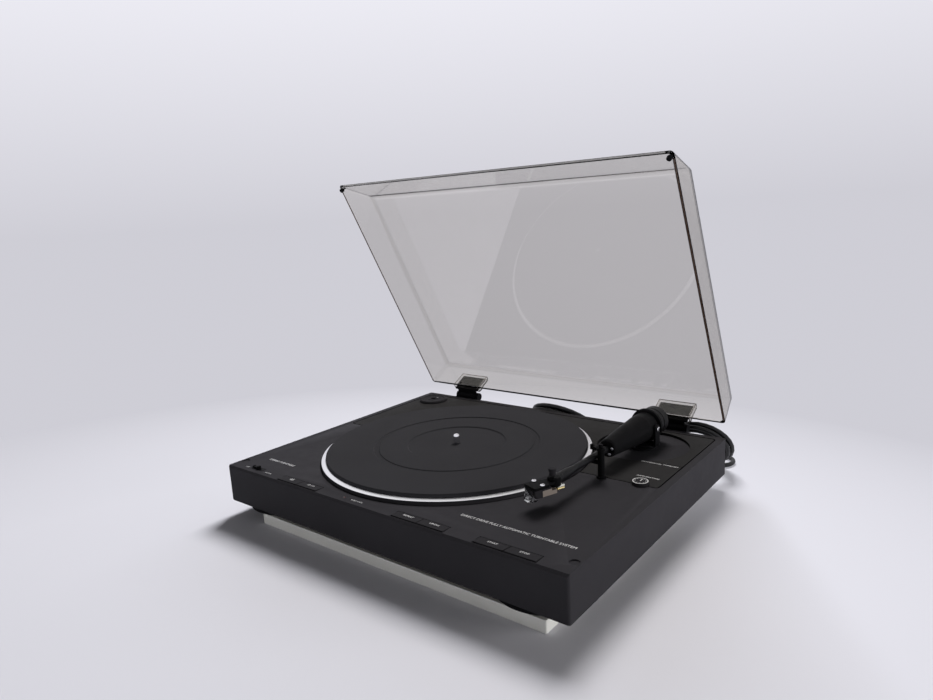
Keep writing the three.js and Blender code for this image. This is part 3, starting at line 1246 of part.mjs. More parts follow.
function lid() {
  const shell = cut(lidForm(0, 0), lidForm(LID_WALL, OVERRUN));
  const rim = lidRim();
  const back = lidBackY();
  const depth = pocketDepth() + LID_REAR_DRAFT;
  const pockets = SIDES.map(([, sign]) =>
    block(POCKET_WIDTH, depth, POCKET_HEIGHT, sign * HINGE_X, back + pocketDepth() - depth / 2, rim));
  const slots = SIDES.map(([, sign]) => block(HINGE_TONGUE_WIDTH + 2 * SEAT_GAP,
    HINGE_TONGUE_THICKNESS + 2 * SEAT_GAP, HINGE_TONGUE_HEIGHT + SEAT_GAP + OVERRUN, sign * HINGE_X,
    back + POCKET_WALL + HINGE_TONGUE_THICKNESS / 2 + SEAT_GAP, rim - OVERRUN));
  const holes = SIDES.map(([, sign]) => drum(LID_BUMPER_STEM_RADIUS + SEAT_GAP,
    LID_BUMPER_STEM_LENGTH + OVERRUN,
    sign * bumperX(), bumperY(), rim - OVERRUN, TINY_SIDES));
  return cut(join(shell, ...pockets, ...bumperBosses()), ...slots, ...holes);
}

function bumperX() {
  return RIGHT - BUMPER_PAD_SIDE_INSET;
}

function bumperY() {
  return FRONT + BUMPER_PAD_FRONT_INSET - HINGE_Y;
}

function bumperBosses() {
  return SIDES.map(([, sign]) => drum(LID_BUMPER_RADIUS, LID_BUMPER_STEM_LENGTH + LID_WALL,
    sign * bumperX(), bumperY(), lidRim(), TINY_SIDES));
}

function lidBumper(sign) {
  const rim = lidRim();
  const bottom = -HINGE_RISE - BUMPER_PAD_DEPTH + SEAT_GAP;
  return turned([
    [0, bottom],
    [LID_BUMPER_RADIUS, bottom],
    [LID_BUMPER_RADIUS, rim - SEAT_GAP],
    [LID_BUMPER_STEM_RADIUS, rim - SEAT_GAP],
    [LID_BUMPER_STEM_RADIUS, rim + LID_BUMPER_STEM_LENGTH - 2 * SEAT_GAP],
    [0, rim + LID_BUMPER_STEM_LENGTH - 2 * SEAT_GAP],
  ], TINY_SIDES).translate(sign * bumperX(), bumperY(), 0);
}

function hingeTongue(sign) {
  const x = sign * HINGE_X;
  const rim = lidRim();
  const plateFront = lidBackY() + POCKET_WALL + SEAT_GAP;
  const webWidth = HINGE_WIDTH - 2 * (HINGE_CHEEK + SEAT_GAP);
  const webTop = rim - SEAT_GAP;
  const plateBottom = webTop - HINGE_WEB_THICKNESS;
  const plate = block(HINGE_TONGUE_WIDTH, HINGE_TONGUE_THICKNESS, rim + HINGE_TONGUE_HEIGHT - plateBottom, x,
    plateFront + HINGE_TONGUE_THICKNESS / 2, plateBottom);
  const web = block(webWidth, -plateFront, HINGE_WEB_THICKNESS, x, plateFront / 2, plateBottom);
  const barrel = axle(HINGE_BARREL_RADIUS, webWidth, x, 0, 0, SMALL_SIDES);
  const bore = axle(HINGE_PIN_RADIUS + SEAT_GAP, webWidth + 2 * OVERRUN, x, 0, 0, SMALL_SIDES);
  return cut(join(plate, web, barrel), bore);
}

function hingeBracket(sign) {
  const x = sign * HINGE_X;
  const plateFront = -HINGE_BEHIND + SEAT_GAP;
  const cheekOut = HINGE_WIDTH / 2;
  const cheekX = cheekOut - HINGE_CHEEK / 2;
  const plateTop = -HINGE_RISE - SEAT_GAP;
  const plate = block(HINGE_WIDTH, HINGE_PLATE_THICKNESS, HINGE_PLATE_DROP, x,
    plateFront + HINGE_PLATE_THICKNESS / 2, plateTop - HINGE_PLATE_DROP);
  const cheeks = [-1, 1].flatMap((end) => [
    axle(HINGE_BARREL_RADIUS, HINGE_CHEEK, x + end * cheekX, 0, 0, SMALL_SIDES),
    barAlongX([
      [plateFront, plateTop],
      [plateFront, plateTop - 2 * HINGE_BARREL_RADIUS],
      [plateFront + HINGE_PLATE_THICKNESS, plateTop - 2 * HINGE_BARREL_RADIUS],
      [HINGE_BARREL_RADIUS * 0.7, -HINGE_BARREL_RADIUS * 0.7],
      [0, plateTop],
    ], HINGE_CHEEK, x + end * cheekX),
  ]);
  const pin = axle(HINGE_PIN_RADIUS, HINGE_WIDTH, x, 0, 0, SMALL_SIDES);
  return join(plate, ...cheeks, pin).translate(0, HINGE_Y, HINGE_Z);
}

// Leads

function strainRelief(x, cordRadius) {
  const wall = PLINTH_WALL;
  return turnedBack([
    [0, -wall - SEAT_GAP - RELIEF_COLLAR],
    [RELIEF_COLLAR_RADIUS, -wall - SEAT_GAP - RELIEF_COLLAR],
    [RELIEF_COLLAR_RADIUS, -wall - SEAT_GAP],
    [RELIEF_NECK_RADIUS, -wall - SEAT_GAP],
    [RELIEF_NECK_RADIUS, SEAT_GAP],
    [RELIEF_COLLAR_RADIUS, SEAT_GAP],
    [RELIEF_COLLAR_RADIUS, SEAT_GAP + RELIEF_COLLAR],
    [RELIEF_ROOT_RADIUS, SEAT_GAP + RELIEF_COLLAR],
    [cordRadius * 1.15, SEAT_GAP + RELIEF_COLLAR + RELIEF_LENGTH],
    [0, SEAT_GAP + RELIEF_COLLAR + RELIEF_LENGTH],
  ], SMALL_SIDES, x, BACK, LEAD_EXIT_Z);
}

// One unbroken round tube through the points, with flat ends
function tubeThrough(points, radius, sides) {
  const positions = [];
  const index = [];
  let side = new THREE.Vector3(0, 0, 1);
  points.forEach((point, i) => {
    const before = points[Math.max(i - 1, 0)];
    const after = points[Math.min(i + 1, points.length - 1)];
    const along = after.clone().sub(before).normalize();
    side = side.clone().sub(along.clone().multiplyScalar(side.dot(along))).normalize();
    const other = along.clone().cross(side);
    for (let k = 0; k < sides; k += 1) {
      const angle = (2 * Math.PI * (k + 0.5)) / sides;
      const ring = point.clone();
      ring.addScaledVector(side, radius * Math.cos(angle));
      ring.addScaledVector(other, radius * Math.sin(angle));
      positions.push(ring.x, ring.y, ring.z);
    }
  });
  for (let i = 0; i < points.length - 1; i += 1) {
    for (let k = 0; k < sides; k += 1) {
      const a = i * sides + k;
      const b = i * sides + ((k + 1) % sides);
      index.push(a, b, a + sides, b, b + sides, a + sides);
    }
  }
  const last = (points.length - 1) * sides;
  for (let k = 1; k < sides - 1; k += 1) {
    index.push(0, k + 1, k, last, last + k, last + k + 1);
  }
  const geometry = new THREE.BufferGeometry();
  geometry.setAttribute('position', new THREE.Float32BufferAttribute(positions, 3));
  geometry.setIndex(index);
  return geometry;
}

// The turns of a coil in two layers: in along the first, up, and out again along the second
function coilPoints(coil, diameter) {
  const pitch = diameter + CORD_GAP;
  const tilt = coil.tilt * DEGREE;
  const up = new THREE.Vector3(0, -Math.cos(tilt), Math.sin(tilt));
  const under = new THREE.Vector3(0, -Math.sin(tilt), -Math.cos(tilt));
  const centre = new THREE.Vector3(RIGHT - coil.inset, BACK + coil.behind, coil.z);
  const turns = 2 * coil.layerTurns;
  const points = [];
  for (let i = 0; i <= turns * COIL_STEPS; i += 1) {
    const turn = i / COIL_STEPS;
    const angle = -Math.PI / 2 + coil.turn * 2 * Math.PI * turn;
    const radius = coil.radius - pitch * Math.min(turn, turns - turn);
    const climb = THREE.MathUtils.clamp((turn - coil.layerTurns) * 2 + 0.5, 0, 1);
    const point = centre.clone();
    point.x += radius * Math.cos(angle);
    point.addScaledVector(up, radius * Math.sin(angle));
    point.addScaledVector(under, pitch * (0.5 - climb));
    points.push(point);
  }
  const run = new THREE.Vector3(coil.turn, 0, 0);
  points.unshift(points[0].clone().addScaledVector(run, -diameter));
  points.push(points[points.length - 1].clone().addScaledVector(run, coil.tail));
  return points;
}

function leastSelfGap(points, diameter) {
  let least = Infinity;
  const skip = COIL_STEPS / 2;
  points.forEach((point, i) => {
    for (let k = i + skip; k < points.length; k += 1) least = Math.min(least, point.distanceTo(points[k]));
  });
  return least - diameter;
}

function pathLength(points) {
  return points.slice(1).reduce((sum, point, i) => sum + point.distanceTo(points[i]), 0);
}

function freeStretch(route, exitX, coil, diameter) {
  const start = coilPoints(coil, diameter)[0];
  const run = new THREE.Vector3(coil.turn, 0, 0);
  const end = start.clone().addScaledVector(run, -SEAT_GAP);
  const exit = new THREE.Vector3(exitX, BACK + SEAT_GAP + RELIEF_COLLAR + RELIEF_LENGTH, LEAD_EXIT_Z);
  const points = [exit.clone().add(new THREE.Vector3(0, SEAT_GAP, 0))];
  route.forEach(([x, y, z]) => points.push(exit.clone().add(new THREE.Vector3(x, y, z))));
  points.push(end.clone().addScaledVector(run, -diameter), end);
  return new THREE.CatmullRomCurve3(points, false, 'centripetal');
}

function freeTube(curve, diameter) {
  const radius = diameter / 2;
  const section = new THREE.Shape();
  for (let k = 0; k < CORD_SIDES; k += 1) {
    const angle = (2 * Math.PI * (k + 0.5)) / CORD_SIDES;
    const place = [radius * Math.cos(angle), radius * Math.sin(angle)];
    if (k === 0) section.moveTo(...place);
    else section.lineTo(...place);
  }
  const steps = Math.round(curve.getLength() / (2 * diameter));
  return new THREE.ExtrudeGeometry(section, { steps, extrudePath: curve, bevelEnabled: false });
}

function addLead(name, coil, exitX, route, diameter) {
  const loops = coilPoints(coil, diameter);
  const curve = freeStretch(route, exitX, coil, diameter);
  add(`${name}_cord`, freeTube(curve, diameter), 'black_plastic');
  add(`${name}_coil`, tubeThrough(loops, diameter / 2, COIL_SIDES), 'black_plastic');
  const length = curve.getLength() + pathLength(loops);
  console.log(`${name} lead: least gap in the coil ${leastSelfGap(loops, diameter).toFixed(2)} mm,`,
    `length ${length.toFixed(0)} mm`);
  return loops[loops.length - 1].clone().add(new THREE.Vector3(coil.turn * SEAT_GAP, 0, 0));
}

function mainsPlug(end, direction) {
  const bodyX = end.x + direction * MAINS_PLUG_LENGTH / 2;
  const neck = MAINS_PLUG_LENGTH / 3;
  const half = MAINS_PLUG_WIDTH / 2;
  const outline = polygon([
    [end.x, end.y - MAINS_DIAMETER],
    [end.x + direction * neck, end.y - half],
    [end.x + direction * MAINS_PLUG_LENGTH, end.y - half],
    [end.x + direction * MAINS_PLUG_LENGTH, end.y + half],
    [end.x + direction * neck, end.y + half],
    [end.x, end.y + MAINS_DIAMETER],
  ]);
  const body = slab(outline, MAINS_PLUG_HEIGHT, end.z - MAINS_PLUG_HEIGHT / 2);
  const bladeX = bodyX + direction * (MAINS_PLUG_LENGTH + MAINS_BLADE_LENGTH) / 2;
  const blades = [-1, 1].map((sign) => block(MAINS_BLADE_LENGTH + OVERRUN, MAINS_BLADE_THICKNESS,
    MAINS_BLADE_HEIGHT,
    bladeX - direction * OVERRUN / 2, end.y + sign * MAINS_BLADE_SPACING / 2,
      end.z - MAINS_BLADE_HEIGHT / 2));
  return join(body, ...blades);
}

function audioPlug(end, direction) {
  const bridge = block(AUDIO_BRIDGE_LENGTH, AUDIO_PLUG_SPACING + AUDIO_PLUG_RADIUS, AUDIO_PLUG_RADIUS * 1.6,
    end.x + direction * AUDIO_BRIDGE_LENGTH / 2, end.y, end.z - AUDIO_PLUG_RADIUS * 0.8);
  const barrels = [-1, 1].flatMap((sign) => {
    const y = end.y + sign * AUDIO_PLUG_SPACING / 2;
    const start = AUDIO_BRIDGE_LENGTH / 2;
    const length = AUDIO_PLUG_LENGTH;
    return [
      axle(AUDIO_PLUG_RADIUS, length, end.x + direction * (start + length / 2), y, end.z, TINY_SIDES),
      axle(AUDIO_PIN_RADIUS, AUDIO_PIN_LENGTH + OVERRUN,
        end.x + direction * (start + length + (AUDIO_PIN_LENGTH - OVERRUN) / 2), y, end.z, TINY_SIDES),
    ];
  });
  return join(bridge, ...barrels);
}

// The whole part

add('base_board', baseBoard(), 'pale_board');
footPlaces().forEach(([place, x, y]) => add(`foot_${place}`, foot(x, y), 'rubber'));
add('bottom_cover', bottomCover(), 'black_paint');
add('plinth', plinth(), 'black_plastic');
add('deck_panel', deckPanel(), 'black_plastic');

add('platter', platter(), 'aluminium');
add('platter_mat', platterMat(), 'rubber');
add('spindle', spindle(), 'chrome');
add('bearing_housing', bearing(), 'brass');
add('rotor_magnet', rotor(), 'ferrite');
add('motor_stator', stator(), 'circuit_green');
add('transformer', transformer(), 'iron');
add('control_board', controlBoard(), 'circuit_green');

add('centre_adaptor', adaptor(), 'black_plastic');
add('antiskate_dial', dial(), 'black_plastic');
add('indicator_lamp', lamp(), 'red_lens');
add('power_switch', powerSwitch(), 'black_plastic');
platePairs().forEach(([pair, centre]) => SIDES.forEach(([side, sign]) =>
  add(`${pair}_plate_${side}`, touchPlate(centre + sign * (PLATE_WIDTH + PLATE_GAP) / 2), 'black_plastic')));
add('plate_rod', plateRod(), 'iron');

add('arm_base', armBase(), 'black_metal');
add('arm_rest', armRest(), 'black_plastic');
add('rest_latch', restLatch(), 'black_plastic');
const arm = new THREE.Group();
arm.position.set(ARM_X, ARM_Y, ARM_Z);
arm.rotation.z = ARM_PARK_ANGLE * DEGREE;
turntable.add(arm);
add('arm_yoke', armYoke(), 'black_metal', arm);
SIDES.forEach(([side, sign]) => add(`pivot_screw_${side}`, pivotScrew(sign), 'chrome', arm));
add('arm_housing', armHousing(), 'black_metal', arm);
add('counterweight', counterweight(), 'black_metal', arm);
add('arm_tube', armTube(), 'black_metal', arm);
const head = new THREE.Group();
head.position.set(0, -HEAD_BEND, 0);
head.rotation.z = HEAD_OFFSET_ANGLE * DEGREE;
arm.add(head);
add('headshell', headshell(), 'black_plastic', head);
add('lock_knob', lockKnob(), 'black_plastic', head);
add('cartridge', cartridge(), 'black_plastic', head);
add('stylus', stylus(), 'black_plastic', head);
add('stylus_guard', stylusGuard(), 'clear_plastic', head);

const cover = new THREE.Group();
cover.position.set(0, HINGE_Y, HINGE_Z);
cover.rotation.x = -LID_OPEN_ANGLE * DEGREE;
turntable.add(cover);
add('dust_cover', lid(), 'smoked_acrylic', cover);
SIDES.forEach(([side, sign]) => {
  add(`cover_bumper_${side}`, lidBumper(sign), 'rubber', cover);
  add(`hinge_tongue_${side}`, hingeTongue(sign), 'black_metal', cover);
  add(`hinge_bracket_${side}`, hingeBracket(sign), 'black_metal');
});

add('mains_relief', strainRelief(MAINS_EXIT_X, MAINS_DIAMETER / 2), 'rubber');
add('audio_relief', strainRelief(AUDIO_EXIT_X, AUDIO_DIAMETER / 2), 'rubber');
const mainsEnd = addLead('mains', MAINS_COIL, MAINS_EXIT_X, MAINS_ROUTE, MAINS_DIAMETER);
add('mains_plug', mainsPlug(mainsEnd, MAINS_COIL.turn), 'black_plastic');
const audioEnd = addLead('audio', AUDIO_COIL, AUDIO_EXIT_X, AUDIO_ROUTE, AUDIO_DIAMETER);
add('audio_plug', audioPlug(audioEnd, AUDIO_COIL.turn), 'black_plastic');

export default turntable;
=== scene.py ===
import math

import bmesh
import bpy
import numpy as np
from mathutils import Matrix, Vector


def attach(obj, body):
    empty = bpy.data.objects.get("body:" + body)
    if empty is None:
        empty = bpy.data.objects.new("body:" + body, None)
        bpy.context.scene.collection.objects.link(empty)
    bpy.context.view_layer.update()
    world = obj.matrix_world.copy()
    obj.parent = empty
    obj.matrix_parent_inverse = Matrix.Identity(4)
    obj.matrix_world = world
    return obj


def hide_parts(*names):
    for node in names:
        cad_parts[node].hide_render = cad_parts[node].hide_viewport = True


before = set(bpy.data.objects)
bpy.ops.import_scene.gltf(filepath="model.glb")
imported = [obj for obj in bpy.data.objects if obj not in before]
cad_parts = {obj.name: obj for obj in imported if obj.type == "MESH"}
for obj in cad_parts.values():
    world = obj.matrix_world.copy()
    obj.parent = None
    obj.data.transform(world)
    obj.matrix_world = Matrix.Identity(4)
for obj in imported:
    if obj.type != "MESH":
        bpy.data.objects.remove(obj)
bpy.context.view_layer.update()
scene = bpy.context.scene
scene.view_settings.view_transform = "Standard"

# Lengths are in millimetres until a mesh is made. X runs to the right, Y to the back and Z up.
MM = 0.001
DECK = 58
BACK = 171.7
SPINDLE_X, SPINDLE_Y = -24.3, -2.9
ADAPTOR_X, ADAPTOR_Y = -184.6, 139.5
DIAL_X, DIAL_Y = 190.7, 7.8
SWITCH_X, SWITCH_Y = -178, -160.1
LAMP_X, LAMP_Y = -33.1, -163.1
PIVOT = (147.5, 109, 78.5)
ARM_YAW = -1.35
HEAD_BEND = 178.03
HEAD_OFFSET = -20
HINGE_X, HINGE_Y, HINGE_Z = 152, 180.7, 59
OPEN_ANGLE = 62.4
BOARD_WIDTH, BOARD_DEPTH, BOARD_HEIGHT = 360, 318, 11.6
BOARD_X, BOARD_Y = 14, -9
FOOT_X, FOOT_FRONT, FOOT_BACK = 168, -125, 107

# Points closer than this, in metres, are one point, and edges shorter than the next one are dropped.
# Edges sharper than the crease stay sharp, and those sharper than the last angle take a bevel.
SAME_POINT = 0.000002
NO_EDGE = 0.000001
CREASE, SAME_PLANE, BEVELLED = math.radians(38), math.radians(0.5), math.radians(35)

# Surfaces


def quads(rows, columns):
    """The faces between neighbouring rows and columns of a grid whose columns close on themselves."""
    row, column = np.meshgrid(np.arange(rows - 1), np.arange(columns), indexing="ij")
    next_row, next_column = row + 1, (column + 1) % columns
    corners = [row * columns + column, row * columns + next_column,
               next_row * columns + next_column, next_row * columns + column]
    return np.stack(corners, -1).reshape(-1, 4).tolist()


def eased(profile, radius, steps=5):
    """Each inner corner of a line of points becomes the arc (1-t)^2 a + 2t(1-t) p + t^2 b.

    One more point on the straight at each end of an arc keeps the straight's shading flat.
    """
    line = np.asarray(profile, float)
    corner, before, after = line[1:-1], line[:-2] - line[1:-1], line[2:] - line[1:-1]
    long_before = np.linalg.norm(before, axis=1, keepdims=True)
    long_after = np.linalg.norm(after, axis=1, keepdims=True)
    reach = np.minimum(radius, 0.45 * np.minimum(long_before, long_after))
    start, end = corner + before / long_before * reach, corner + after / long_after * reach
    t = np.linspace(0, 1, steps)[None, :, None]
    arcs = (1 - t) ** 2 * start[:, None] + 2 * t * (1 - t) * corner[:, None] + t ** 2 * end[:, None]
    outer_start, outer_end = start + 0.1 * (start - corner), end + 0.1 * (end - corner)
    arcs = np.concatenate([outer_start[:, None], arcs, outer_end[:, None]], 1)
    return np.concatenate([line[:1], arcs.reshape(-1, line.shape[1]), line[-1:]])


def turned(profile, steps=128):
    """A profile of (radius, height) goes round Z: x = r cos a, y = r sin a, z = h."""
    radius, height = np.asarray(profile, float).T
    angle = np.linspace(0, 2 * np.pi, steps, endpoint=False)
    points = np.stack([np.outer(radius, np.cos(angle)), np.outer(radius, np.sin(angle)),
                       np.outer(height, np.ones(steps))], -1)
    return points.reshape(-1, 3), quads(len(radius), steps)


def lathe(profile, ease, arc_steps, sides):
    """A profile of (radius, height) has its corners eased, then goes round Z."""
    return turned(eased(profile, ease, arc_steps), sides)


def loft(rings, caps=True):
    """Rings of equal count are joined in order, with flat ends whose edge is a narrow band."""
    if caps:
        ends = rings[[0, -1]]
        middle = ends.mean(1, keepdims=True)
        inner = middle + (ends - middle) * 0.94
        rings = np.concatenate([inner[:1], rings, inner[1:]])
    count, around = rings.shape[:2]
    faces = quads(count, around)
    if caps:
        faces += [list(range(around))[::-1], list(range((count - 1) * around, count * around))]
    return rings.reshape(-1, 3), faces


def shrunk(outline, inset):
    """Each point of a closed outline moves inward along the mean normal of its two edges."""
    edge = np.roll(outline, -1, 0) - outline
    edge /= np.linalg.norm(edge, axis=1, keepdims=True)
    normal = np.stack([edge[:, 1], -edge[:, 0]], -1)
    mean = normal + np.roll(normal, 1, 0)
    mean /= np.maximum((mean ** 2).sum(1, keepdims=True) / 2, 0.5)
    return outline - inset * mean


def level(outline, height):
    """A flat outline at one height, or at a height for each point, as one ring of points."""
    return np.column_stack([outline, np.full(len(outline), height)])


def plate(outline, rim):
    """An outline carried through a rim of (inset, height) pairs."""
    outline = np.asarray(outline, float)
    return loft(np.array([level(shrunk(outline, inset), height) for inset, height in rim]))


def rounded(width, depth, radius, steps=6):
    """A rectangle about the origin with quarter circles at its corners."""
    turn = np.linspace(0, np.pi / 2, steps)
    corners = []
    for k, (sx, sy) in enumerate(((1, 1), (-1, 1), (-1, -1), (1, -1))):
        centre = np.array([sx * (width / 2 - radius), sy * (depth / 2 - radius)])
        angle = turn + k * np.pi / 2
        corners.append(centre + radius * np.stack([np.cos(angle), np.sin(angle)], -1))
    return np.concatenate(corners)


def soft_rim(low, high, ease, steps=4):
    """The rim of a plate from low to high with both edges rounded by ease."""
    turn = np.linspace(0, np.pi / 2, steps)
    lower = np.stack([ease * (1 - np.sin(turn)), low + ease * (1 - np.cos(turn))], -1)
    upper = np.stack([ease * (1 - np.cos(turn)), high - ease * (1 - np.sin(turn))], -1)
    share = min(1.3 * ease, 0.45 * (high - low))
    return np.concatenate([lower, [(0, low + share), (0, high - share)], upper])


def soft_box(width, depth, low, high, radius=1, ease=0.4):
    """A block with rounded corners and edges, centred on X and Y."""
    return plate(rounded(width, depth, radius), soft_rim(low, high, ease))


def rod(radius, low, high, ease=0.2, steps=32):
    """A round bar along Z with eased ends."""
    return lathe([(0, low), (radius, low), (radius, high), (0, high)], ease, 4, steps)


def shift(x=0, y=0, z=0):
    """The matrix that moves points by x, y and z."""
    return Matrix.Translation((x, y, z))


def spin(degrees, axis):
    """The matrix that turns points about one axis."""
    return Matrix.Rotation(math.radians(degrees), 4, axis)


def placed(shape, *matrices):
    """The matrices act on the points, the last one first."""
    points, faces = shape
    whole = np.eye(4)
    for matrix in matrices:
        whole = whole @ np.array(matrix)
    return points @ whole[:3, :3].T + whole[:3, 3], faces


def moved(shapes, *matrices):
    """Several shapes, all placed by the same matrices."""
    return [placed(shape, *matrices) for shape in shapes]


ARM = shift(*PIVOT) @ spin(ARM_YAW, "Z")
HEAD = ARM @ shift(0, -HEAD_BEND, 0) @ spin(HEAD_OFFSET, "Z")
COVER = shift(0, HINGE_Y, HINGE_Z) @ spin(-OPEN_ANGLE, "X")
SPINDLE = shift(SPINDLE_X, SPINDLE_Y)
FORWARD = spin(90, "X")
ARM_LINE = ARM @ FORWARD


def linked(name, data):
    thing = bpy.data.objects.new(name, data)
    scene.collection.objects.link(thing)
    return thing


def finished(mesh, finish, from_solid=False):
    """Points that meet become one, and edges sharper than the crease angle stay sharp.

    A solid's own mesh has its flat faces joined; a new one loses faces without area.
    """
    whole = bmesh.new()
    whole.from_mesh(mesh)
    bmesh.ops.remove_doubles(whole, verts=whole.verts, dist=SAME_POINT)
    if from_solid:
        bmesh.ops.dissolve_limit(whole, angle_limit=SAME_PLANE, verts=whole.verts, edges=whole.edges)
    else:
        bmesh.ops.dissolve_degenerate(whole, edges=whole.edges, dist=NO_EDGE)
        bmesh.ops.recalc_face_normals(whole, faces=whole.faces)
    whole.to_mesh(mesh)
    whole.free()
    mesh.polygons.foreach_set("use_smooth", [True] * len(mesh.polygons))
    mesh.set_sharp_from_angle(angle=CREASE)
    mesh.materials.clear()
    mesh.materials.append(finish)
    return mesh


def added(name, data, body, solids=()):
    """The new piece rides its body and replaces the solids it dresses."""
    piece = linked(name, data)
    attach(piece, body)
    if solids:
        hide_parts(*solids)
    return piece


def make(name, shapes, body, finish, solids=()):
    """The shapes' points and faces are put into one mesh in metres."""
    points, faces, offset = [], [], 0
    for shape_points, shape_faces in shapes:
        points.append(shape_points)
        faces += [[index + offset for index in face] for face in shape_faces]
        offset += len(shape_points)
    mesh = bpy.data.meshes.new(name)
    mesh.from_pydata((np.concatenate(points) * MM).tolist(), [], faces)
    return added(name, finished(mesh, finish), body, solids)


def turned_piece(name, solid, body, finish, place, smoothing, profile):
    """A profile of (radius, height), with its corners eased, goes round the axis of its place."""
    make(name, [placed(lathe(profile, *smoothing), place)], body, finish, [solid])


# The camera stands where the photograph was taken

CAMERA_PLACE = (0.44904, -0.55859, 0.31721)
CAMERA_AZIMUTH, CAMERA_ELEVATION, CAMERA_ROLL = 39.1, 11.33, -3.31
CAMERA_LENS, CAMERA_SENSOR = 26.213, 36
NEAREST_SEEN = 0.01


def make_camera():
    """The view turns by the azimuth, rises by the elevation, then rolls."""
    data = bpy.data.cameras.new("camera")
    data.sensor_width, data.lens, data.clip_start = CAMERA_SENSOR, CAMERA_LENS, NEAREST_SEEN
    camera = linked("camera", data)
    camera.matrix_world = (Matrix.Translation(CAMERA_PLACE) @ spin(CAMERA_AZIMUTH, "Z")
                           @ spin(90 - CAMERA_ELEVATION, "X") @ spin(CAMERA_ROLL, "Z"))
    scene.camera = camera


make_camera()

# Finishes


def feed(tree, value, socket):
    """A socket takes another's link, a colour without alpha, or its own plain value."""
    if isinstance(value, bpy.types.NodeSocket):
        tree.links.new(value, socket)
    elif socket.type == "RGBA" and len(value) == 3:
        socket.default_value = (*value, 1)
    else:
        socket.default_value = value


def node(tree, kind, values, output=0, **settings):
    """A new node with its settings and its fed sockets; returns one of its outputs."""
    new = tree.nodes.new(f"ShaderNode{kind}")
    for label, setting in settings.items():
        setattr(new, label, setting)
    for label, value in values.items():
        feed(tree, value, new.inputs[label])
    return new.outputs[output]


def noise(tree, place, scale, detail=2, roughness=0.5):
    values = {"Vector": place, "Scale": scale, "Detail": detail, "Roughness": roughness}
    return node(tree, "TexNoise", values)


def calc(tree, operation, first, second=0, clamp=False):
    return node(tree, "Math", {0: first, 1: second}, operation=operation, use_clamp=clamp)


def span(tree, value, from_low, from_high, to_low, to_high):
    return node(tree, "MapRange", {"Value": value, "From Min": from_low, "From Max": from_high,
                                   "To Min": to_low, "To Max": to_high})


def vector(tree, operation, first, second, output=0):
    return node(tree, "VectorMath", {0: first, 1: second}, output, operation=operation)


def mix_surfaces(tree, factor, first, second, end):
    """The end takes the first surface where factor is 0 and the second where it is 1."""
    feed(tree, node(tree, "MixShader", {0: factor, 1: first, 2: second}), end.inputs["Surface"])


def object_place(tree):
    return node(tree, "TexCoord", {}, "Object")


def toned(tree, colour, factor):
    return node(tree, "VectorMath", {0: colour, "Scale": factor}, operation="SCALE")


SOCKETS = {"Colour": "Color", "Normal": "Vector", "Centre": "Vector", "Stretch": "Vector"}


def new_group(name, *labels):
    """An empty shader group with these inputs; it gives a colour, a roughness and a normal."""
    tree = bpy.data.node_groups.new(name, "ShaderNodeTree")
    for way, some in (("INPUT", labels), ("OUTPUT", ("Colour", "Roughness", "Normal"))):
        for label in some:
            kind = f"NodeSocket{SOCKETS.get(label, 'Float')}"
            tree.interface.new_socket(label, in_out=way, socket_type=kind)
    return tree, tree.nodes.new("NodeGroupInput").outputs


def close_group(tree, colour, roughness, gloss, height, depth, distance):
    """Out go the colour, roughness + gloss held in 0 to 1, and the normal of a bump."""
    bump = node(tree, "Bump", {"Height": height, "Strength": depth, "Distance": distance})
    given = colour, calc(tree, "ADD", roughness, gloss, True), bump
    for value, socket in zip(given, tree.nodes.new("NodeGroupOutput").inputs):
        feed(tree, value, socket)


# Noise lies mostly in its range. Bumps are in metres. Dust shows where noise is above its level.
NOISE_RANGE = (0.3, 0.7)
BUMP_MOULDED, BUMP_RINGS, BUMP_DRAWN = 0.00006, 0.00008, 0.00005
DUST_TONE, DUST_LEVEL = (0.35, 0.35, 0.36), 0.755


def moulded_group():
    """Fine moulded grain with broad, faint changes of tone and gloss, and a few dust specks."""
    tree, given = new_group("moulded_grain", "Colour", "Roughness", "Grain Depth", "Grain Scale",
                            "Tone Change", "Dust")
    place = object_place(tree)
    grain = noise(tree, place, given["Grain Scale"])
    broad = noise(tree, place, 14, 3)
    smudge = noise(tree, place, 55, 5, 0.6)
    specks = noise(tree, place, 1900, 1)
    shade = calc(tree, "MULTIPLY", span(tree, broad, *NOISE_RANGE, -1, 1), given["Tone Change"])
    plain = toned(tree, given["Colour"], calc(tree, "ADD", shade, 1))
    speck = calc(tree, "GREATER_THAN", specks, DUST_LEVEL)
    dusty = calc(tree, "MULTIPLY", speck, given["Dust"])
    colour = node(tree, "Mix", {0: dusty, 6: plain, 7: DUST_TONE}, 2, data_type="RGBA")
    gloss = span(tree, smudge, 0.35, 0.7, -0.05, 0.06)
    close_group(tree, colour, given["Roughness"], gloss, grain, given["Grain Depth"], BUMP_MOULDED)
    return tree


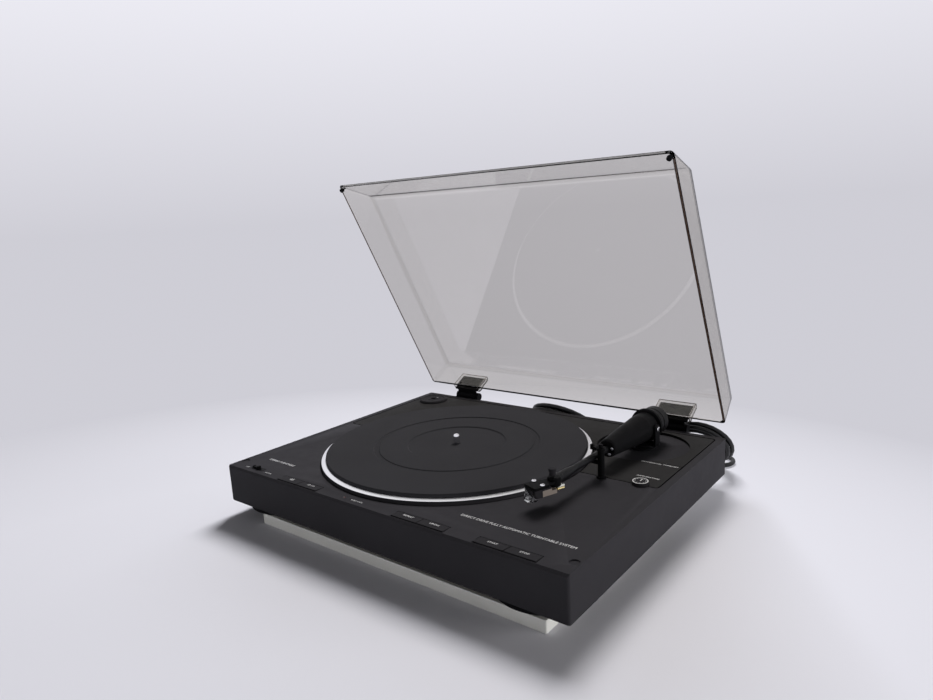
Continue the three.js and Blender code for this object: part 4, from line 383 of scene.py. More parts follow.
def ring_group():
    """Fine circles about a centre: height = sin(radius x spacing) / 2 + noise along the radius."""
    tree, given = new_group("turned_rings", "Colour", "Roughness", "Ring Scale", "Ring Depth",
                            "Tone Change", "Centre")
    place = object_place(tree)
    flat = vector(tree, "MULTIPLY", vector(tree, "SUBTRACT", place, given["Centre"]), (1, 1, 0))
    radius = vector(tree, "LENGTH", flat, (0, 0, 0), "Value")
    wave = calc(tree, "SINE", calc(tree, "MULTIPLY", radius, given["Ring Scale"]))
    uneven = noise(tree, node(tree, "CombineXYZ", {0: radius}), 1400, 3)
    broad = noise(tree, place, 20, 3)
    height = calc(tree, "ADD", calc(tree, "MULTIPLY", wave, 0.5), uneven)
    shade = calc(tree, "MULTIPLY", span(tree, uneven, *NOISE_RANGE, -1, 1), given["Tone Change"])
    colour = toned(tree, given["Colour"], calc(tree, "ADD", shade, 1))
    gloss = span(tree, broad, *NOISE_RANGE, -0.04, 0.05)
    close_group(tree, colour, given["Roughness"], gloss, height, given["Ring Depth"], BUMP_RINGS)
    return tree


def drawn_group():
    """Fine scratches on metal: noise whose coordinates are stretched along one axis."""
    tree, given = new_group("drawn_metal", "Colour", "Roughness", "Stretch", "Scratch Depth")
    stretched = vector(tree, "MULTIPLY", object_place(tree), given["Stretch"])
    scratch = noise(tree, stretched, 1, 3)
    colour = toned(tree, given["Colour"], span(tree, scratch, *NOISE_RANGE, 0.9, 1.06))
    gloss = span(tree, scratch, *NOISE_RANGE, -0.05, 0.07)
    close_group(tree, colour, given["Roughness"], gloss, scratch, given["Scratch Depth"], BUMP_DRAWN)
    return tree


MOULDED, RINGS, DRAWN = moulded_group(), ring_group(), drawn_group()


def material(name, group, values, sockets):
    """One shared group, its inputs given in order, feeds colour, roughness and normal to the shader."""
    made = bpy.data.materials.new(name)
    made.use_nodes = True
    tree = made.node_tree
    shader = tree.nodes["Principled BSDF"]
    effect = tree.nodes.new("ShaderNodeGroup")
    effect.node_tree = group
    for socket, value in zip(effect.inputs, values):
        feed(tree, value, socket)
    for source, target in zip(effect.outputs, ("Base Color", "Roughness", "Normal")):
        feed(tree, source, shader.inputs[target])
    for label, value in sockets.items():
        shader.inputs[label.replace("_", " ")].default_value = value
    return made


def moulded(name, *values, **sockets):
    """Values: colour, roughness, grain depth, grain scale, tone change and share of dust."""
    return material(name, MOULDED, values, sockets)


def dull(name, *values):
    """A moulded finish that mirrors hardly anything."""
    return moulded(name, *values, Specular_IOR_Level=DULL)


def ringed(name, *values, **sockets):
    """Values: colour, roughness, ring scale, ring depth and tone change, about the spindle."""
    return material(name, RINGS, (*values, (SPINDLE_X * MM, SPINDLE_Y * MM, 0)), sockets)


def drawn(name, *values, metallic=1):
    """Values: colour, roughness, stretch and scratch depth."""
    return material(name, DRAWN, values, {"Metallic": metallic})


DULL = 0.02
ACROSS_Z, ACROSS_Y, ACROSS_X = (900, 900, 60), (900, 60, 900), (60, 900, 900)
satin_black = dull("satin_black", (0.036, 0.0348, 0.0385), 0.6, 0.07, 2600, 0.08, 0.03)
panel_black = dull("panel_black", (0.027, 0.0262, 0.0265), 0.6, 0.07, 2600, 0.08, 0.04)
key_black = dull("key_black", (0.026, 0.025, 0.0275), 0.55, 0.12, 2600, 0.08, 0.03)
gloss_black = moulded("gloss_black", (0.004, 0.004, 0.0045), 0.42, 0.06, 1800, 0.08, 0.03,
                      Specular_IOR_Level=0.16)
housing_black = dull("housing_black", (0.0065, 0.0065, 0.007), 0.4, 0.12, 2200, 0.1, 0.03)
painted_metal = dull("painted_metal", (0.008, 0.008, 0.009), 0.42, 0.15, 1500, 0.1, 0.02)
cord_black = moulded("cord_black", (0.007, 0.007, 0.0075), 0.45, 0.15, 1200, 0.12, 0.04,
                     Specular_IOR_Level=0.35)
foot_rubber = dull("foot_rubber", (0.008, 0.008, 0.009), 0.75, 0.4, 1100, 0.2, 0.05)
board_paint = moulded("board_paint", (0.8, 0.8, 0.76), 0.5, 0.2, 900, 0.05, 0)
# Painted highlight: this pale finish on the front rim band stands in for the white highlight line along
# the rim.
edge_painted_highlight = moulded("edge_painted_highlight", (0.5, 0.49, 0.47), 0.35, 0.3, 1200, 0.1, 0)
# Painted glow: this bronze finish on the side rim bands stands in for the bronze light seen along the
# acrylic's edges.
edge_painted_glow = moulded("edge_painted_glow", (0.085, 0.05, 0.035), 0.3, 0.1, 900, 0.3, 0)
mat_rubber = ringed("mat_rubber", (0.037, 0.0365, 0.04), 0.7, 5200, 0.12, 0.04,
                    Specular_IOR_Level=DULL)
platter_metal = ringed("platter_metal", (0.88, 0.88, 0.89), 0.3, 9000, 0.04, 0.03, Metallic=1)
chrome = drawn("chrome", (0.82, 0.82, 0.84), 0.1, ACROSS_Z, 0.03)
steel = drawn("steel", (0.42, 0.42, 0.44), 0.42, ACROSS_X, 0.12)
gold = drawn("gold", (0.95, 0.8, 0.42), 0.25, ACROSS_Y, 0.05)
pin_white = drawn("pin_white", (0.85, 0.85, 0.8), 0.3, ACROSS_Y, 0.05, metallic=0)
brass = drawn("brass", (0.75, 0.55, 0.22), 0.3, ACROSS_Z, 0.1)
iron = moulded("iron", (0.09, 0.09, 0.1), 0.55, 0.4, 700, 0.25, 0, Metallic=0.6)
circuit = moulded("circuit", (0.02, 0.09, 0.04), 0.45, 0.1, 1500, 0.2, 0.05)
cartridge_grey = moulded("cartridge_grey", (0.26, 0.22, 0.19), 0.5, 0.25, 1500, 0.12, 0.05)
lettering_white = moulded("lettering_white", (0.72, 0.72, 0.72), 0.5, 0.1, 2000, 0.05, 0)
lamp_red = moulded("lamp_red", (0.04, 0.006, 0.006), 0.15, 0.05, 1500, 0.1, 0)
ACRYLIC_IOR = 1.49


def clear_finish(name, colour, depth):
    """Clear acrylic whose depth takes up light: what is left = e^(-depth (1 - colour) path).

    Shadow and diffuse light go straight through the faces, and only the depth dims them.
    """
    made = moulded(name, (1, 1, 1), 0, 0, 90, 0, 0, Transmission_Weight=1,
                   IOR=ACRYLIC_IOR)
    tree = made.node_tree
    end = tree.nodes["Material Output"]
    path = tree.nodes.new("ShaderNodeLightPath").outputs
    through = calc(tree, "MAXIMUM", path["Is Shadow Ray"], path["Is Diffuse Ray"])
    glass = tree.nodes["Principled BSDF"].outputs[0]
    mix_surfaces(tree, through, glass, node(tree, "BsdfTransparent", {}), end)
    absorbed = node(tree, "VolumeAbsorption", {"Color": colour, "Density": depth})
    feed(tree, absorbed, end.inputs["Volume"])
    return made


smoked = clear_finish("smoked", (0.34, 0.28, 0.18), 125)
guard_clear = clear_finish("guard_clear", (0.55, 0.6, 0.62), 60)

# Cords, along the route of their solids

RELIEF_END = BACK + 28.7
EXIT_Z = 30
COILS = {
    "mains": {"x": -17, "y": 211.6, "z": 33.4, "radius": 43.85, "tilt": 39, "tail": 36,
              "layer": 3, "diameter": 6, "exit": 62},
    "audio": {"x": 177, "y": 211.2, "z": 33.5, "radius": 34.8, "tilt": 56.5, "tail": 28,
              "layer": 2, "diameter": 5.2, "exit": 94},
}
ROUTES = {
    "mains": [(0.4, 6.9, -0.2), (1.5, 15.7, -1.6), (2, 24, -4.7), (0.9, 31.4, -8.9), (-2, 38, -13.5),
              (-6.9, 43.3, -18), (-13.3, 47.4, -21.9), (-20.8, 49.9, -24.7), (-28.9, 50.9, -26.2),
              (-36.6, 50.6, -26.7), (-43.9, 49.1, -26.7), (-50.2, 47, -26.7), (-56.6, 44.8, -26.7),
              (-61.6, 43.7, -26.7)],
    "audio": [(0, 10.7, 0), (-0.9, 20.7, -2.8), (-1.5, 29.8, -7.8), (-0.7, 37.6, -14.5),
              (2.9, 44.4, -21.4), (9.3, 51.2, -25.7), (17.4, 57.1, -27), (26.7, 60.7, -27),
              (37.2, 61.5, -27.1), (48, 60.7, -27.1), (58.9, 59.8, -27.1), (69.9, 60.1, -27.1),
              (82.4, 61.5, -27.1), (95.9, 60.9, -27.1), (103.7, 55.6, -27.1), (107.7, 48.1, -27.1),
              (108.1, 40.5, -27.1), (106.2, 35.1, -27.1), (102.9, 31.2, -27.1), (98.7, 28.8, -27.1)],
}
COIL_STEPS = 24
CORD_GAP = 0.45
JOIN = 0.3
SLEEVE_LENGTH = 28.4
RIB_COUNT, RIB_PITCH, RIB_DEPTH = 6, 3.6, 0.7


def coil_path(coil):
    """In one layer the radius shrinks with the turn, and in the next it grows again."""
    pitch = coil["diameter"] + CORD_GAP
    tilt = math.radians(coil["tilt"])
    up = np.array([0, -math.cos(tilt), math.sin(tilt)])
    under = np.array([0, -math.sin(tilt), -math.cos(tilt)])
    turns = 2 * coil["layer"]
    turn = np.arange(turns * COIL_STEPS + 1) / COIL_STEPS
    angle = -np.pi / 2 - 2 * np.pi * turn
    radius = coil["radius"] - pitch * np.minimum(turn, turns - turn)
    climb = np.clip((turn - coil["layer"]) * 2 + 0.5, 0, 1)
    points = np.array([coil["x"], coil["y"], coil["z"]]) + np.outer(radius * np.sin(angle), up)
    points += np.outer(pitch * (0.5 - climb), under)
    points[:, 0] += radius * np.cos(angle)
    start = points[:1] + [coil["diameter"], 0, 0]
    end = points[-1:] - [coil["tail"], 0, 0]
    return np.concatenate([start, points, end])


def smooth_path(points, steps):
    """A centripetal curve through the points, each stretch p = p1 + m1 t + square t^2 + cubic t^3."""
    line = np.vstack([2 * points[0] - points[1], points, 2 * points[-1] - points[-2]])
    p0, p1, p2, p3 = line[:-3], line[1:-2], line[2:-1], line[3:]
    d0, d1, d2 = (np.linalg.norm(b - a, axis=1, keepdims=True) ** 0.5
                  for a, b in ((p0, p1), (p1, p2), (p2, p3)))
    m1 = ((p1 - p0) / d0 - (p2 - p0) / (d0 + d1) + (p2 - p1) / d1) * d1
    m2 = ((p2 - p1) / d1 - (p3 - p1) / (d1 + d2) + (p3 - p2) / d2) * d1
    t = (np.arange(steps) / steps)[None, :, None]
    cubic = 2 * p1 - 2 * p2 + m1 + m2
    square = -3 * p1 + 3 * p2 - 2 * m1 - m2
    curve = p1[:, None] + m1[:, None] * t + square[:, None] * t ** 2 + cubic[:, None] * t ** 3
    return np.concatenate([curve.reshape(-1, 3), points[-1:]])


def make_cord(name):
    """The free stretch and its coil are one curve; returns it, its start, length and far end."""
    coil = COILS[name]
    exit_point = np.array([coil["exit"], RELIEF_END, EXIT_Z])
    turns = coil_path(coil)
    before = turns[:1] + [coil["diameter"] + JOIN, 0, 0]
    free = smooth_path(np.vstack([exit_point + [0, JOIN, 0], exit_point + ROUTES[name], before,
                                  turns[:1] + [JOIN, 0, 0]]), 3)
    path = np.vstack([free, turns])
    curve = bpy.data.curves.new(f"{name}_lead", "CURVE")
    curve.dimensions, curve.use_fill_caps = "3D", True
    curve.bevel_depth, curve.bevel_resolution = coil["diameter"] / 2 * MM, 4
    spline = curve.splines.new("POLY")
    spline.points.add(len(path) - 1)
    spline.points.foreach_set("co", np.column_stack([path * MM, np.ones(len(path))]).ravel())
    spline.use_smooth = True
    curve.materials.append(cord_black)
    piece = added(f"{name}_lead", curve, "cabinet", [f"{name}_cord", f"{name}_coil"])
    length = np.linalg.norm(np.diff(path, axis=0), axis=1).sum() * MM
    return piece, path[0] * MM, length, path[-1] - [JOIN, 0, 0]


def make_relief(name):
    """A ribbed sleeve with grooves: radius = base + (tip - base) x distance / length."""
    coil = COILS[name]
    base, tip = 5.4, coil["diameter"] / 2 * 1.15
    profile = [(0, -6), (7.4, -6), (7.4, -3.6), (5, -3.6), (5, 0), (7.4, 0), (7.4, 2.4),
               (base, 2.4)]
    for k in range(RIB_COUNT):
        near = RIB_PITCH * (k + 1)
        wide = base + (tip - base) * near / SLEEVE_LENGTH
        thin = wide - RIB_DEPTH
        profile += [(wide, near), (wide, near + 2.2), (thin, near + 2.3), (thin, near + 3.5)]
    profile += [(tip, 25.6), (tip, SLEEVE_LENGTH), (0, SLEEVE_LENGTH)]
    shape = placed(lathe(profile, 0.25, 3, 40), shift(coil["exit"], BACK + JOIN, EXIT_Z),
                   spin(-90, "X"))
    return make(f"{name}_sleeve", [shape], "cabinet", cord_black, [f"{name}_relief"])


def make_mains_plug(end):
    """Rounded rectangles of (distance, width, height) widen to the front face, with two flat blades."""
    sections = ((0, 9, 8.6), (1.5, 10.4, 9.6), (6, 14, 11.5), (12, 18.5, 13.6), (20, 20.6, 15),
                (32, 20.9, 15.2), (33.6, 20.3, 14.7), (34, 19.2, 13.6))
    rings = []
    for along, width, height in sections:
        outline = rounded(width, height, min(width, height) * 0.32)
        rings.append(np.column_stack([np.full(len(outline), -along), outline]) + end)
    blade = plate(rounded(18.6, 6.1, 1.2), soft_rim(-0.72, 0.72, 0.2))
    blades = [placed(blade, shift(*end), shift(-41.6, side * 6.35), FORWARD) for side in (-1, 1)]
    return [make("mains_plug_body", [loft(np.array(rings))], "cabinet", cord_black,
                 ["mains_plug"]),
            make("mains_plug_blades", blades, "cabinet", steel)]


def make_audio_plug(end):
    """A short bridge feeds two ribbed barrels, each with a collar and a pin."""
    barrel = [(0, 4), (3.4, 4), (4.4, 6), (4.4, 9)]
    for k in range(5):
        barrel += [(5.4, 9.6 + 3 * k), (5.4, 11.4 + 3 * k), (4.7, 11.7 + 3 * k), (4.7, 12.3 + 3 * k)]
    barrel = lathe(barrel + [(5.5, 24.6), (5.5, 27.6), (0, 27.6)], 0.3, 3, 36)
    collar = lathe([(2.6, 27.6), (4.3, 27.6), (4.3, 33), (3.6, 33), (3.6, 28.2), (2.6, 27.6)],
                   0.2, 3, 36)
    pin = lathe([(0, 27.6), (1.6, 27.6), (1.6, 35.6), (0.5, 37), (0, 37)], 0.3, 3, 24)
    black = [placed(soft_box(8, 18, -4.2, 4.2, 2.5, 1.2), shift(*end), shift(-4.2))]
    metal = []
    for side in (-1, 1):
        place = (shift(*end), shift(0, side * 6.5), spin(-90, "Y"))
        black.append(placed(barrel, *place))
        metal += moved([collar, pin], *place)
    return [make("audio_plug_bodies", black, "cabinet", cord_black, ["audio_plug"]),
            make("audio_plug_metal", metal, "cabinet", gold)]


def make_leads():
    """Each lead is a cord with its sleeve and its plug."""
    for name, maker, stiffness in (("mains", make_mains_plug, "medium"),
                                   ("audio", make_audio_plug, "limp")):
        lead, exit_point, length, end = make_cord(name)
        extras = [make_relief(name), *maker(end)]


make_leads()

# Platter

# The rim's bevel and lip are turned with the whole platter, and a dark band painted over its metal side
# stands in for the dark deck mirrored there.
turned_piece("platter_metalwork", "platter", "platter", platter_metal, SPINDLE,
             (0.35, 4, 256), [
    (3.9, 52), (16, 52), (16, 58.3), (146.2, 58.3), (146.2, 52), (150.2, 52),
    (150.2, 61.9), (145.7, 63), (145.7, 62.3), (3.9, 62.3), (3.9, 52)])
# Painted reflection: this dark band covers the platter's side so it shows the deck's dark tone.
band = [(150.1, 52.2), (150.4, 52.4), (150.4, 61.3), (150.1, 61.5), (150.1, 52.2)]
make("platter_painted_reflection_band", [placed(turned(band, 256), SPINDLE)], "platter", satin_black)
# A rubber ring has an outer field, a groove, a middle field and a label recess.
turned_piece("mat_rubberwork", "platter_mat", "platter", mat_rubber, SPINDLE, (0.2, 3, 200), [
    (3.9, 62.6), (145.2, 62.6), (145.2, 65.8), (144.4, 66.6), (93.4, 66.6), (92.6, 65.6), (87.4, 65.6),
    (86.5, 66.4), (55.9, 66.4), (54.5, 65.2), (3.9, 65.2), (3.9, 62.6)])
# A pin has a collar inside the bearing and a top that narrows to a small flat.
turned_piece("spindle_pin", "spindle", "platter", chrome, SPINDLE, (0.3, 3, 48), [
    (0, 26), (3.6, 26), (3.6, 48.9), (12, 48.9), (12, 50.3), (3.6, 50.3), (3.6, 71.6), (3.45, 73.6),
    (2.9, 75), (1.8, 75.8), (0, 76)])
# A puck has a raised rim, a shallow dish and a central hole.
turned_piece("adaptor_puck", "centre_adaptor", "adaptor", key_black,
             shift(ADAPTOR_X, ADAPTOR_Y), (0.3, 4, 96), [
    (3.6, 55.5), (19.5, 55.5), (19.5, 59.5), (18, 61), (15.6, 61), (14.9, 60.5),
    (7.5, 60.5), (6.9, 61), (3.6, 61), (3.6, 55.5)])

# Tonearm

# The housing widens towards the pivot, with a rounded shoulder at each end.
turned_piece("housing_shell", "arm_housing", "arm", housing_black, ARM_LINE,
             (0.8, 4, 96), [
    (0, -38), (6, -38), (6, -8), (13.4, -8), (14.8, -6.6), (14.8, 10), (13.9, 22),
    (12.6, 40), (9.4, 78.5), (8.3, 80.8), (3.8, 81), (3.8, 62), (0, 62)])
# A heavy ring has a grooved flange in front and a bevelled end.
turned_piece("counterweight_ring", "counterweight", "weight", gloss_black, ARM_LINE,
             (0.25, 3, 120), [
    (6.3, -33.8), (13.9, -33.8), (15.5, -32.2), (15.5, -22.6), (14.9, -22.4), (14.9, -21),
    (15.5, -20.8), (15.5, -11.7), (18, -11.7), (18, -10.6), (16.4, -10.4), (16.4, -9.6),
    (18, -9.4), (18, -8.3), (6.3, -8.3), (6.3, -33.8)])
# A slim tube swells into the head's collar.
TUBE_END, REST_BESIDE = HEAD_BEND - 6, (7.4, -105.9, 0)
turned_piece("tube_barrel", "arm_tube", "arm", gloss_black, ARM_LINE, (2, 5, 48), [
    (0, 62.4), (3.4, 62.4), (3.4, TUBE_END - 30), (3.7, TUBE_END - 26), (4.5, TUBE_END - 18),
    (4.8, TUBE_END - 12), (4.8, TUBE_END), (0, TUBE_END)])


def on_head(name, shapes, finish, solids=()):
    """The shapes are in the head's own place and ride the arm."""
    make(name, moved(shapes, HEAD), "arm", finish, solids)


def make_headshell():
    """A round collar, a flat finger plate with rounded edges, and the socket in line with the tube."""
    outline = [(-5, 3.5), (-5.6, -8.5), (-8.2, -11.6), (-8.5, -26.2), (-7.7, -27), (7.7, -27),
               (8.5, -26.2), (8.2, -11.6), (5.6, -8.5), (5, 3.5)]
    blade = plate(outline, soft_rim(-0.7, 1.7, 0.35, 3))
    socket = placed(rod(5.3, -9, 3, 0.5, 40), spin(-HEAD_OFFSET, "Z"), FORWARD)
    on_head("headshell_body", [rod(6.2, -4.2, 4.4, 1, 48), blade], housing_black,
            ["headshell"])
    on_head("headshell_collar", [socket], gloss_black)


def screw_head(radius, height, slot):
    """A turned domed head, and a thin bar that shows its slot."""
    dome = [(0, 0), (radius, 0), (radius, height * 0.55), (radius * 0.75, height * 0.9), (0, height)]
    bar = soft_box(radius * 1.7, slot, height * 0.9, height * 1.02, slot * 0.2, 0.02)
    return lathe(dome, 0.15, 3, 32), bar


def make_head_screws():
    """Two slotted screws stand on the finger plate, turned a little to either side."""
    head, bar = screw_head(2.25, 1.9, 0.6)
    places = {side: shift(side * 6.35, -17.4, 1.75) for side in (-1, 1)}
    on_head("head_screws", [placed(head, place) for place in places.values()], chrome)
    slots = [placed(bar, place, spin(side * 25, "Z")) for side, place in places.items()]
    on_head("head_screw_slots", slots, gloss_black)


def side_profile(points, width):
    """An outline of (forward, up) points carried across the head by width."""
    shape = plate(points, soft_rim(-width / 2, width / 2, 0.35, 3))
    return placed(shape, ((0, 0, 1, 0), (-1, 0, 0, 0), (0, 1, 0, 0), (0, 0, 0, 1)))


def make_pins():
    """Four round pins with sleeves stand at the cartridge's back, towards the arm."""
    contact = [rod(0.5, 0, 5, 0.15, 16), rod(1.2, 4.4, 12, 0.3, 20)]
    for row, up, finish in (("upper", -5.2, pin_white), ("lower", -7.8, gold)):
        pins = []
        for across in (-2.1, 2.1):
            pins += moved(contact, shift(across, -2.6, up), spin(-90, "X"))
        on_head(f"{row}_pins", pins, finish)


# Side outlines, each with its width across the head: a dark front block and its mount, a brown-grey
# body, then a wedge for the stylus, and a clear strap that hangs in front and turns back under it.
CARTRIDGE = (
    ("cartridge_front", "black_plastic", key_black, ["cartridge"], (
        (15.6, [(18.3, -1), (18.3, -8.4), (23.6, -8.4), (26.5, -5.4), (26.5, -1)]),
        (15.6, [(8.6, -1), (8.6, -2.7), (18.2, -2.7), (18.2, -1)]))),
    ("cartridge_rear", "black_plastic", cartridge_grey, (), (
        (15.2, [(2.4, -4.6), (2.4, -8.2), (3, -8.4), (18.2, -8.4), (18.2, -2.6), (8, -2.6),
                (8, -4.6)]),)),
)
STYLUS = (
    ("stylus_holder", "black_plastic", key_black, ["stylus"], (
        (6, [(23.5, -8.7), (23.5, -9.6), (22, -10.2), (14.5, -9.5), (14.5, -8.7)]),)),
    ("guard_strap", "clear_plastic", guard_clear, ["stylus_guard"], (
        (12, [(27.6, -1), (27.6, -4.7), (29.2, -11.3), (22.4, -11.3), (22.4, -10.5), (28.4, -10.5),
                (26.8, -4.7), (26.8, -1)]),
        (5, [(30.4, -10.2), (31.6, -11.25), (28.6, -11.25), (28.3, -6.5)]))),
)


def make_side_pieces(rows):
    """Each row is one piece of the head, drawn by its side outlines."""
    for name, slot, finish, solids, outlines in rows:
        shapes = [side_profile(points, width) for width, points in outlines]
        on_head(name, shapes, finish, solids)


def make_yoke():
    """Two ears with half-round tops stand on a bar that turns with the shaft, a screw through each."""
    bar = placed(soft_box(34.6, 10, 1.9, 4.9, 1.5, 0.5), shift(0, 0, -20.5))
    angle = np.linspace(np.pi, 0, 17)
    top = 5 * np.column_stack([np.cos(angle), np.sin(angle)])
    ear = plate(np.vstack([[(-5, -18.4)], top, [(5, -18.4)]]), soft_rim(-1.1, 1.1, 0.3, 3))
    ears = [placed(ear, ((0, 0, 1, side * 16.2), (1, 0, 0, 0), (0, 1, 0, 0), (0, 0, 0, 1)))
            for side in (-1, 1)]
    make("yoke_frame", moved([bar, rod(4, -38.6, -16, 0.4, 40), *ears], ARM), "yoke",
         painted_metal, ["arm_yoke"])
    screw = lathe([(0, 11.8), (2, 11.8), (2, 17.6), (2.9, 17.6), (2.9, 18.6), (2.2, 18.9), (0, 18.9)],
                  0.2, 3, 32)
    for turn, side in ((-90, "left"), (90, "right")):
        make(f"pivot_bearing_{side}", [placed(screw, ARM, spin(turn, "Y"))], "yoke", chrome,
             [f"pivot_screw_{side}"])


def make_housing_screws():
    """Two small turned steel screws on the housing's front face, beside the tube."""
    head = lathe([(0, 0), (1.5, 0), (1.5, 0.5), (1, 0.9), (0, 0.9)], 0.15, 3, 24)
    heads = [placed(head, ARM, shift(across, -81, up), FORWARD)
             for across, up in ((6, 0.9), (3.2, -5.2))]
    make("housing_screws", heads, "arm", steel)


def make_rest():
    """A slim turned post on a ring foot, with a cradle under the tube and a latch round its neck."""
    spot = ARM @ Vector(REST_BESIDE)
    place = shift(spot.x, spot.y)
    post = lathe([(0, 55.5), (2.2, 55.5), (2.2, 58.3), (5, 58.3), (5, 60), (3.4, 60.6), (3.4, 85.6),
                  (2.2, 85.6), (2.2, 92), (1.6, 92.4), (0, 92.4)], 0.35, 4, 40)
    cradle = placed(soft_box(10.8, 4.4, 71.8, 74.8, 1.6), spin(ARM_YAW, "Z"), shift(-5.4))
    make("rest_post", moved([post, cradle], place), "cabinet", housing_black,
         ["arm_rest"])
    ring = lathe([(2.5, 85.9), (4.2, 85.9), (4.2, 88.9), (2.5, 88.9), (2.5, 85.9)], 0.3, 4, 40)
    bar = placed(soft_box(8.2, 4, 85.9, 88.9, 1.2), shift(-6.9))
    grip = placed(soft_box(3, 4, 85.9, 90.9, 1, 0.5), shift(-9.5))
    make("latch_arm", moved([ring, bar, grip], place), "latch", housing_black,
         ["rest_latch"])


make_headshell()
# The lock knob's cap has a wider grip on a short neck.
turned_piece("lock_knob_cap", "lock_knob", "arm", key_black, HEAD @ shift(-2),
             (0.3, 4, 40), [
    (0, 4.7), (3, 4.7), (3, 8.4), (3.6, 8.8), (3.6, 11), (3.2, 11.4), (0, 11.4)])
make_head_screws()
make_side_pieces(CARTRIDGE)
make_pins()
make_side_pieces(STYLUS)
make_yoke()
make_housing_screws()
make_rest()

# Dust cover

COVER_HALF, COVER_BACK, COVER_FRONT = 215.1, -15.2, -339.4
COVER_RIM, COVER_HEIGHT, COVER_WALL = 2, 39, 2.8
SIDE_DRAFT, FRONT_DRAFT, REAR_DRAFT = 3.1, 36.2, 3.2
COVER_OUTER_BEND, COVER_INNER_BEND = 3.4, 4.6
OUTER_CORNER, INNER_CORNER = 4, 3.4
LOW_SHARE, BAND_SHARE = 0.012, 0.03
FLAT = 0.8
BAND_SECTION = (-0.2, 0.3, 0.3, 0.08)


def cover_ring(share, inset, radius):
    """The wall's outline at a share of its height: a rounded rectangle less draft x share a side."""
    half = COVER_HALF - inset - SIDE_DRAFT * share
    back = COVER_BACK - inset - REAR_DRAFT * share
    front = COVER_FRONT + inset + FRONT_DRAFT * share
    outline = rounded(2 * half, back - front, radius, 8)
    return level(outline + [0, (back + front) / 2], COVER_RIM + COVER_HEIGHT * share)


def cover_bend(inset, top, bend, corner):
    """A wall's top edge: a quarter circle of radius bend, and a ring on each flat beside it."""
    turn = np.linspace(0, np.pi / 2, 7)
    drop = bend * (1 - np.sin(turn))
    inward = inset + bend * (1 - np.cos(turn))
    rings = [cover_ring((top - bend - FLAT) / COVER_HEIGHT, inset, corner)]
    rings += [cover_ring((top - low) / COVER_HEIGHT, across, corner)
              for low, across in zip(drop, inward)]
    rings.append(cover_ring(top / COVER_HEIGHT, inward[-1] + FLAT, corner))
    return rings


def make_cover():
    """Outer wall, rounded top edge, then the same inside with a fuller bend, as one closed shell."""
    outer = [cover_ring(0, 0.6, 3.6), cover_ring(0, 0.4, 3.8),
             cover_ring(LOW_SHARE, 0, OUTER_CORNER), cover_ring(BAND_SHARE, 0, OUTER_CORNER)]
    outer += cover_bend(0, COVER_HEIGHT, COVER_OUTER_BEND, OUTER_CORNER)
    inner = [cover_ring(share, COVER_WALL - inset, INNER_CORNER)
             for share, inset in ((0, 0.6), (0, 0.4), (LOW_SHARE, 0), (BAND_SHARE, 0))]
    inner += cover_bend(COVER_WALL, COVER_HEIGHT - COVER_WALL, COVER_INNER_BEND, INNER_CORNER)
    shell = loft(np.array(outer[::-1] + inner))
    make("cover_shell", [placed(shell, COVER)], "cover", smoked, ["dust_cover"])


def make_pockets():
    """At each hinge the cover has a thin plate of acrylic, and a frame round its sides and top."""
    face = placed(plate(rounded(45, 24.6, 1.5), soft_rim(0, 1.8, 0.3)), shift(0, 6.8, 12.5), FORWARD)
    outline = [(-22.5, 0), (-21.4, 0), (-21.4, 23.4), (21.4, 23.4), (21.4, 0), (22.5, 0), (22.5, 24.6),
               (-22.5, 24.6)]
    wall = placed(plate(outline, soft_rim(0, 4.9, 0.15, 3)), shift(0, 4.95, 0.2), FORWARD)
    pockets = []
    for side in (-1, 1):
        pockets += moved([face, wall], COVER, shift(side * HINGE_X, COVER_BACK, COVER_RIM))
    make("cover_pockets", pockets, "cover", smoked)


def make_edges():
    """Painted light on the rim: a thin pale band along the middle of the front rim is a painted
    highlight, and thin bronze bands along the side rims are a painted glow.
    """
    front = soft_box(2 * COVER_HALF - 16, COVER_WALL - 1.5, *BAND_SECTION)
    side = soft_box(1.2, COVER_BACK - COVER_FRONT - 13, *BAND_SECTION)
    inward, middle = COVER_WALL / 2, (COVER_FRONT + COVER_BACK + 3) / 2
    make("cover_front_edge", [placed(front, COVER, shift(0, COVER_FRONT + inward, COVER_RIM))], "cover",
         edge_painted_highlight)
    sides = [placed(side, COVER, shift(x, middle, COVER_RIM))
             for x in (inward - COVER_HALF, COVER_HALF - inward)]
    make("cover_side_edges", sides, "cover", edge_painted_glow)


def make_hinge_screws():
    """Two domed screws hold each hinge bracket to the back of the cabinet."""
    head, _ = screw_head(3, 1.1, 0.6)
    heads = [placed(head, shift(side * HINGE_X + across, BACK + 2.95, HINGE_Z - 20), spin(-90, "X"))
             for side in (-1, 1) for across in (-12, 12)]
    make("bracket_screws", heads, "cabinet", steel)


make_cover()
make_pockets()
make_edges()
make_hinge_screws()

# Lettering

INK = 0.03
EXTRUDED = 0.01


def lettering(name, text, x, y, width, body="cabinet", height=DECK, tilt=0):
    """Raised ink: the letters are made a mesh, brought to a width, then put in place."""
    font = bpy.data.curves.new(name, "FONT")
    font.body = text
    font.align_x, font.align_y = "CENTER", "CENTER"
    font.extrude = EXTRUDED
    font.resolution_u = 3
    holder = linked(name, font)
    bpy.context.view_layer.update()
    scale = width * MM / holder.dimensions.x
    mesh = bpy.data.meshes.new_from_object(holder)
    bpy.data.objects.remove(holder)
    flat = Matrix.Diagonal((scale, scale, INK * MM / EXTRUDED, 1))
    mesh.transform(shift(x * MM, y * MM, (height + INK) * MM) @ spin(tilt, "X") @ flat)
    mesh.materials.clear()
    mesh.materials.append(lettering_white)
    added(name, mesh, body)


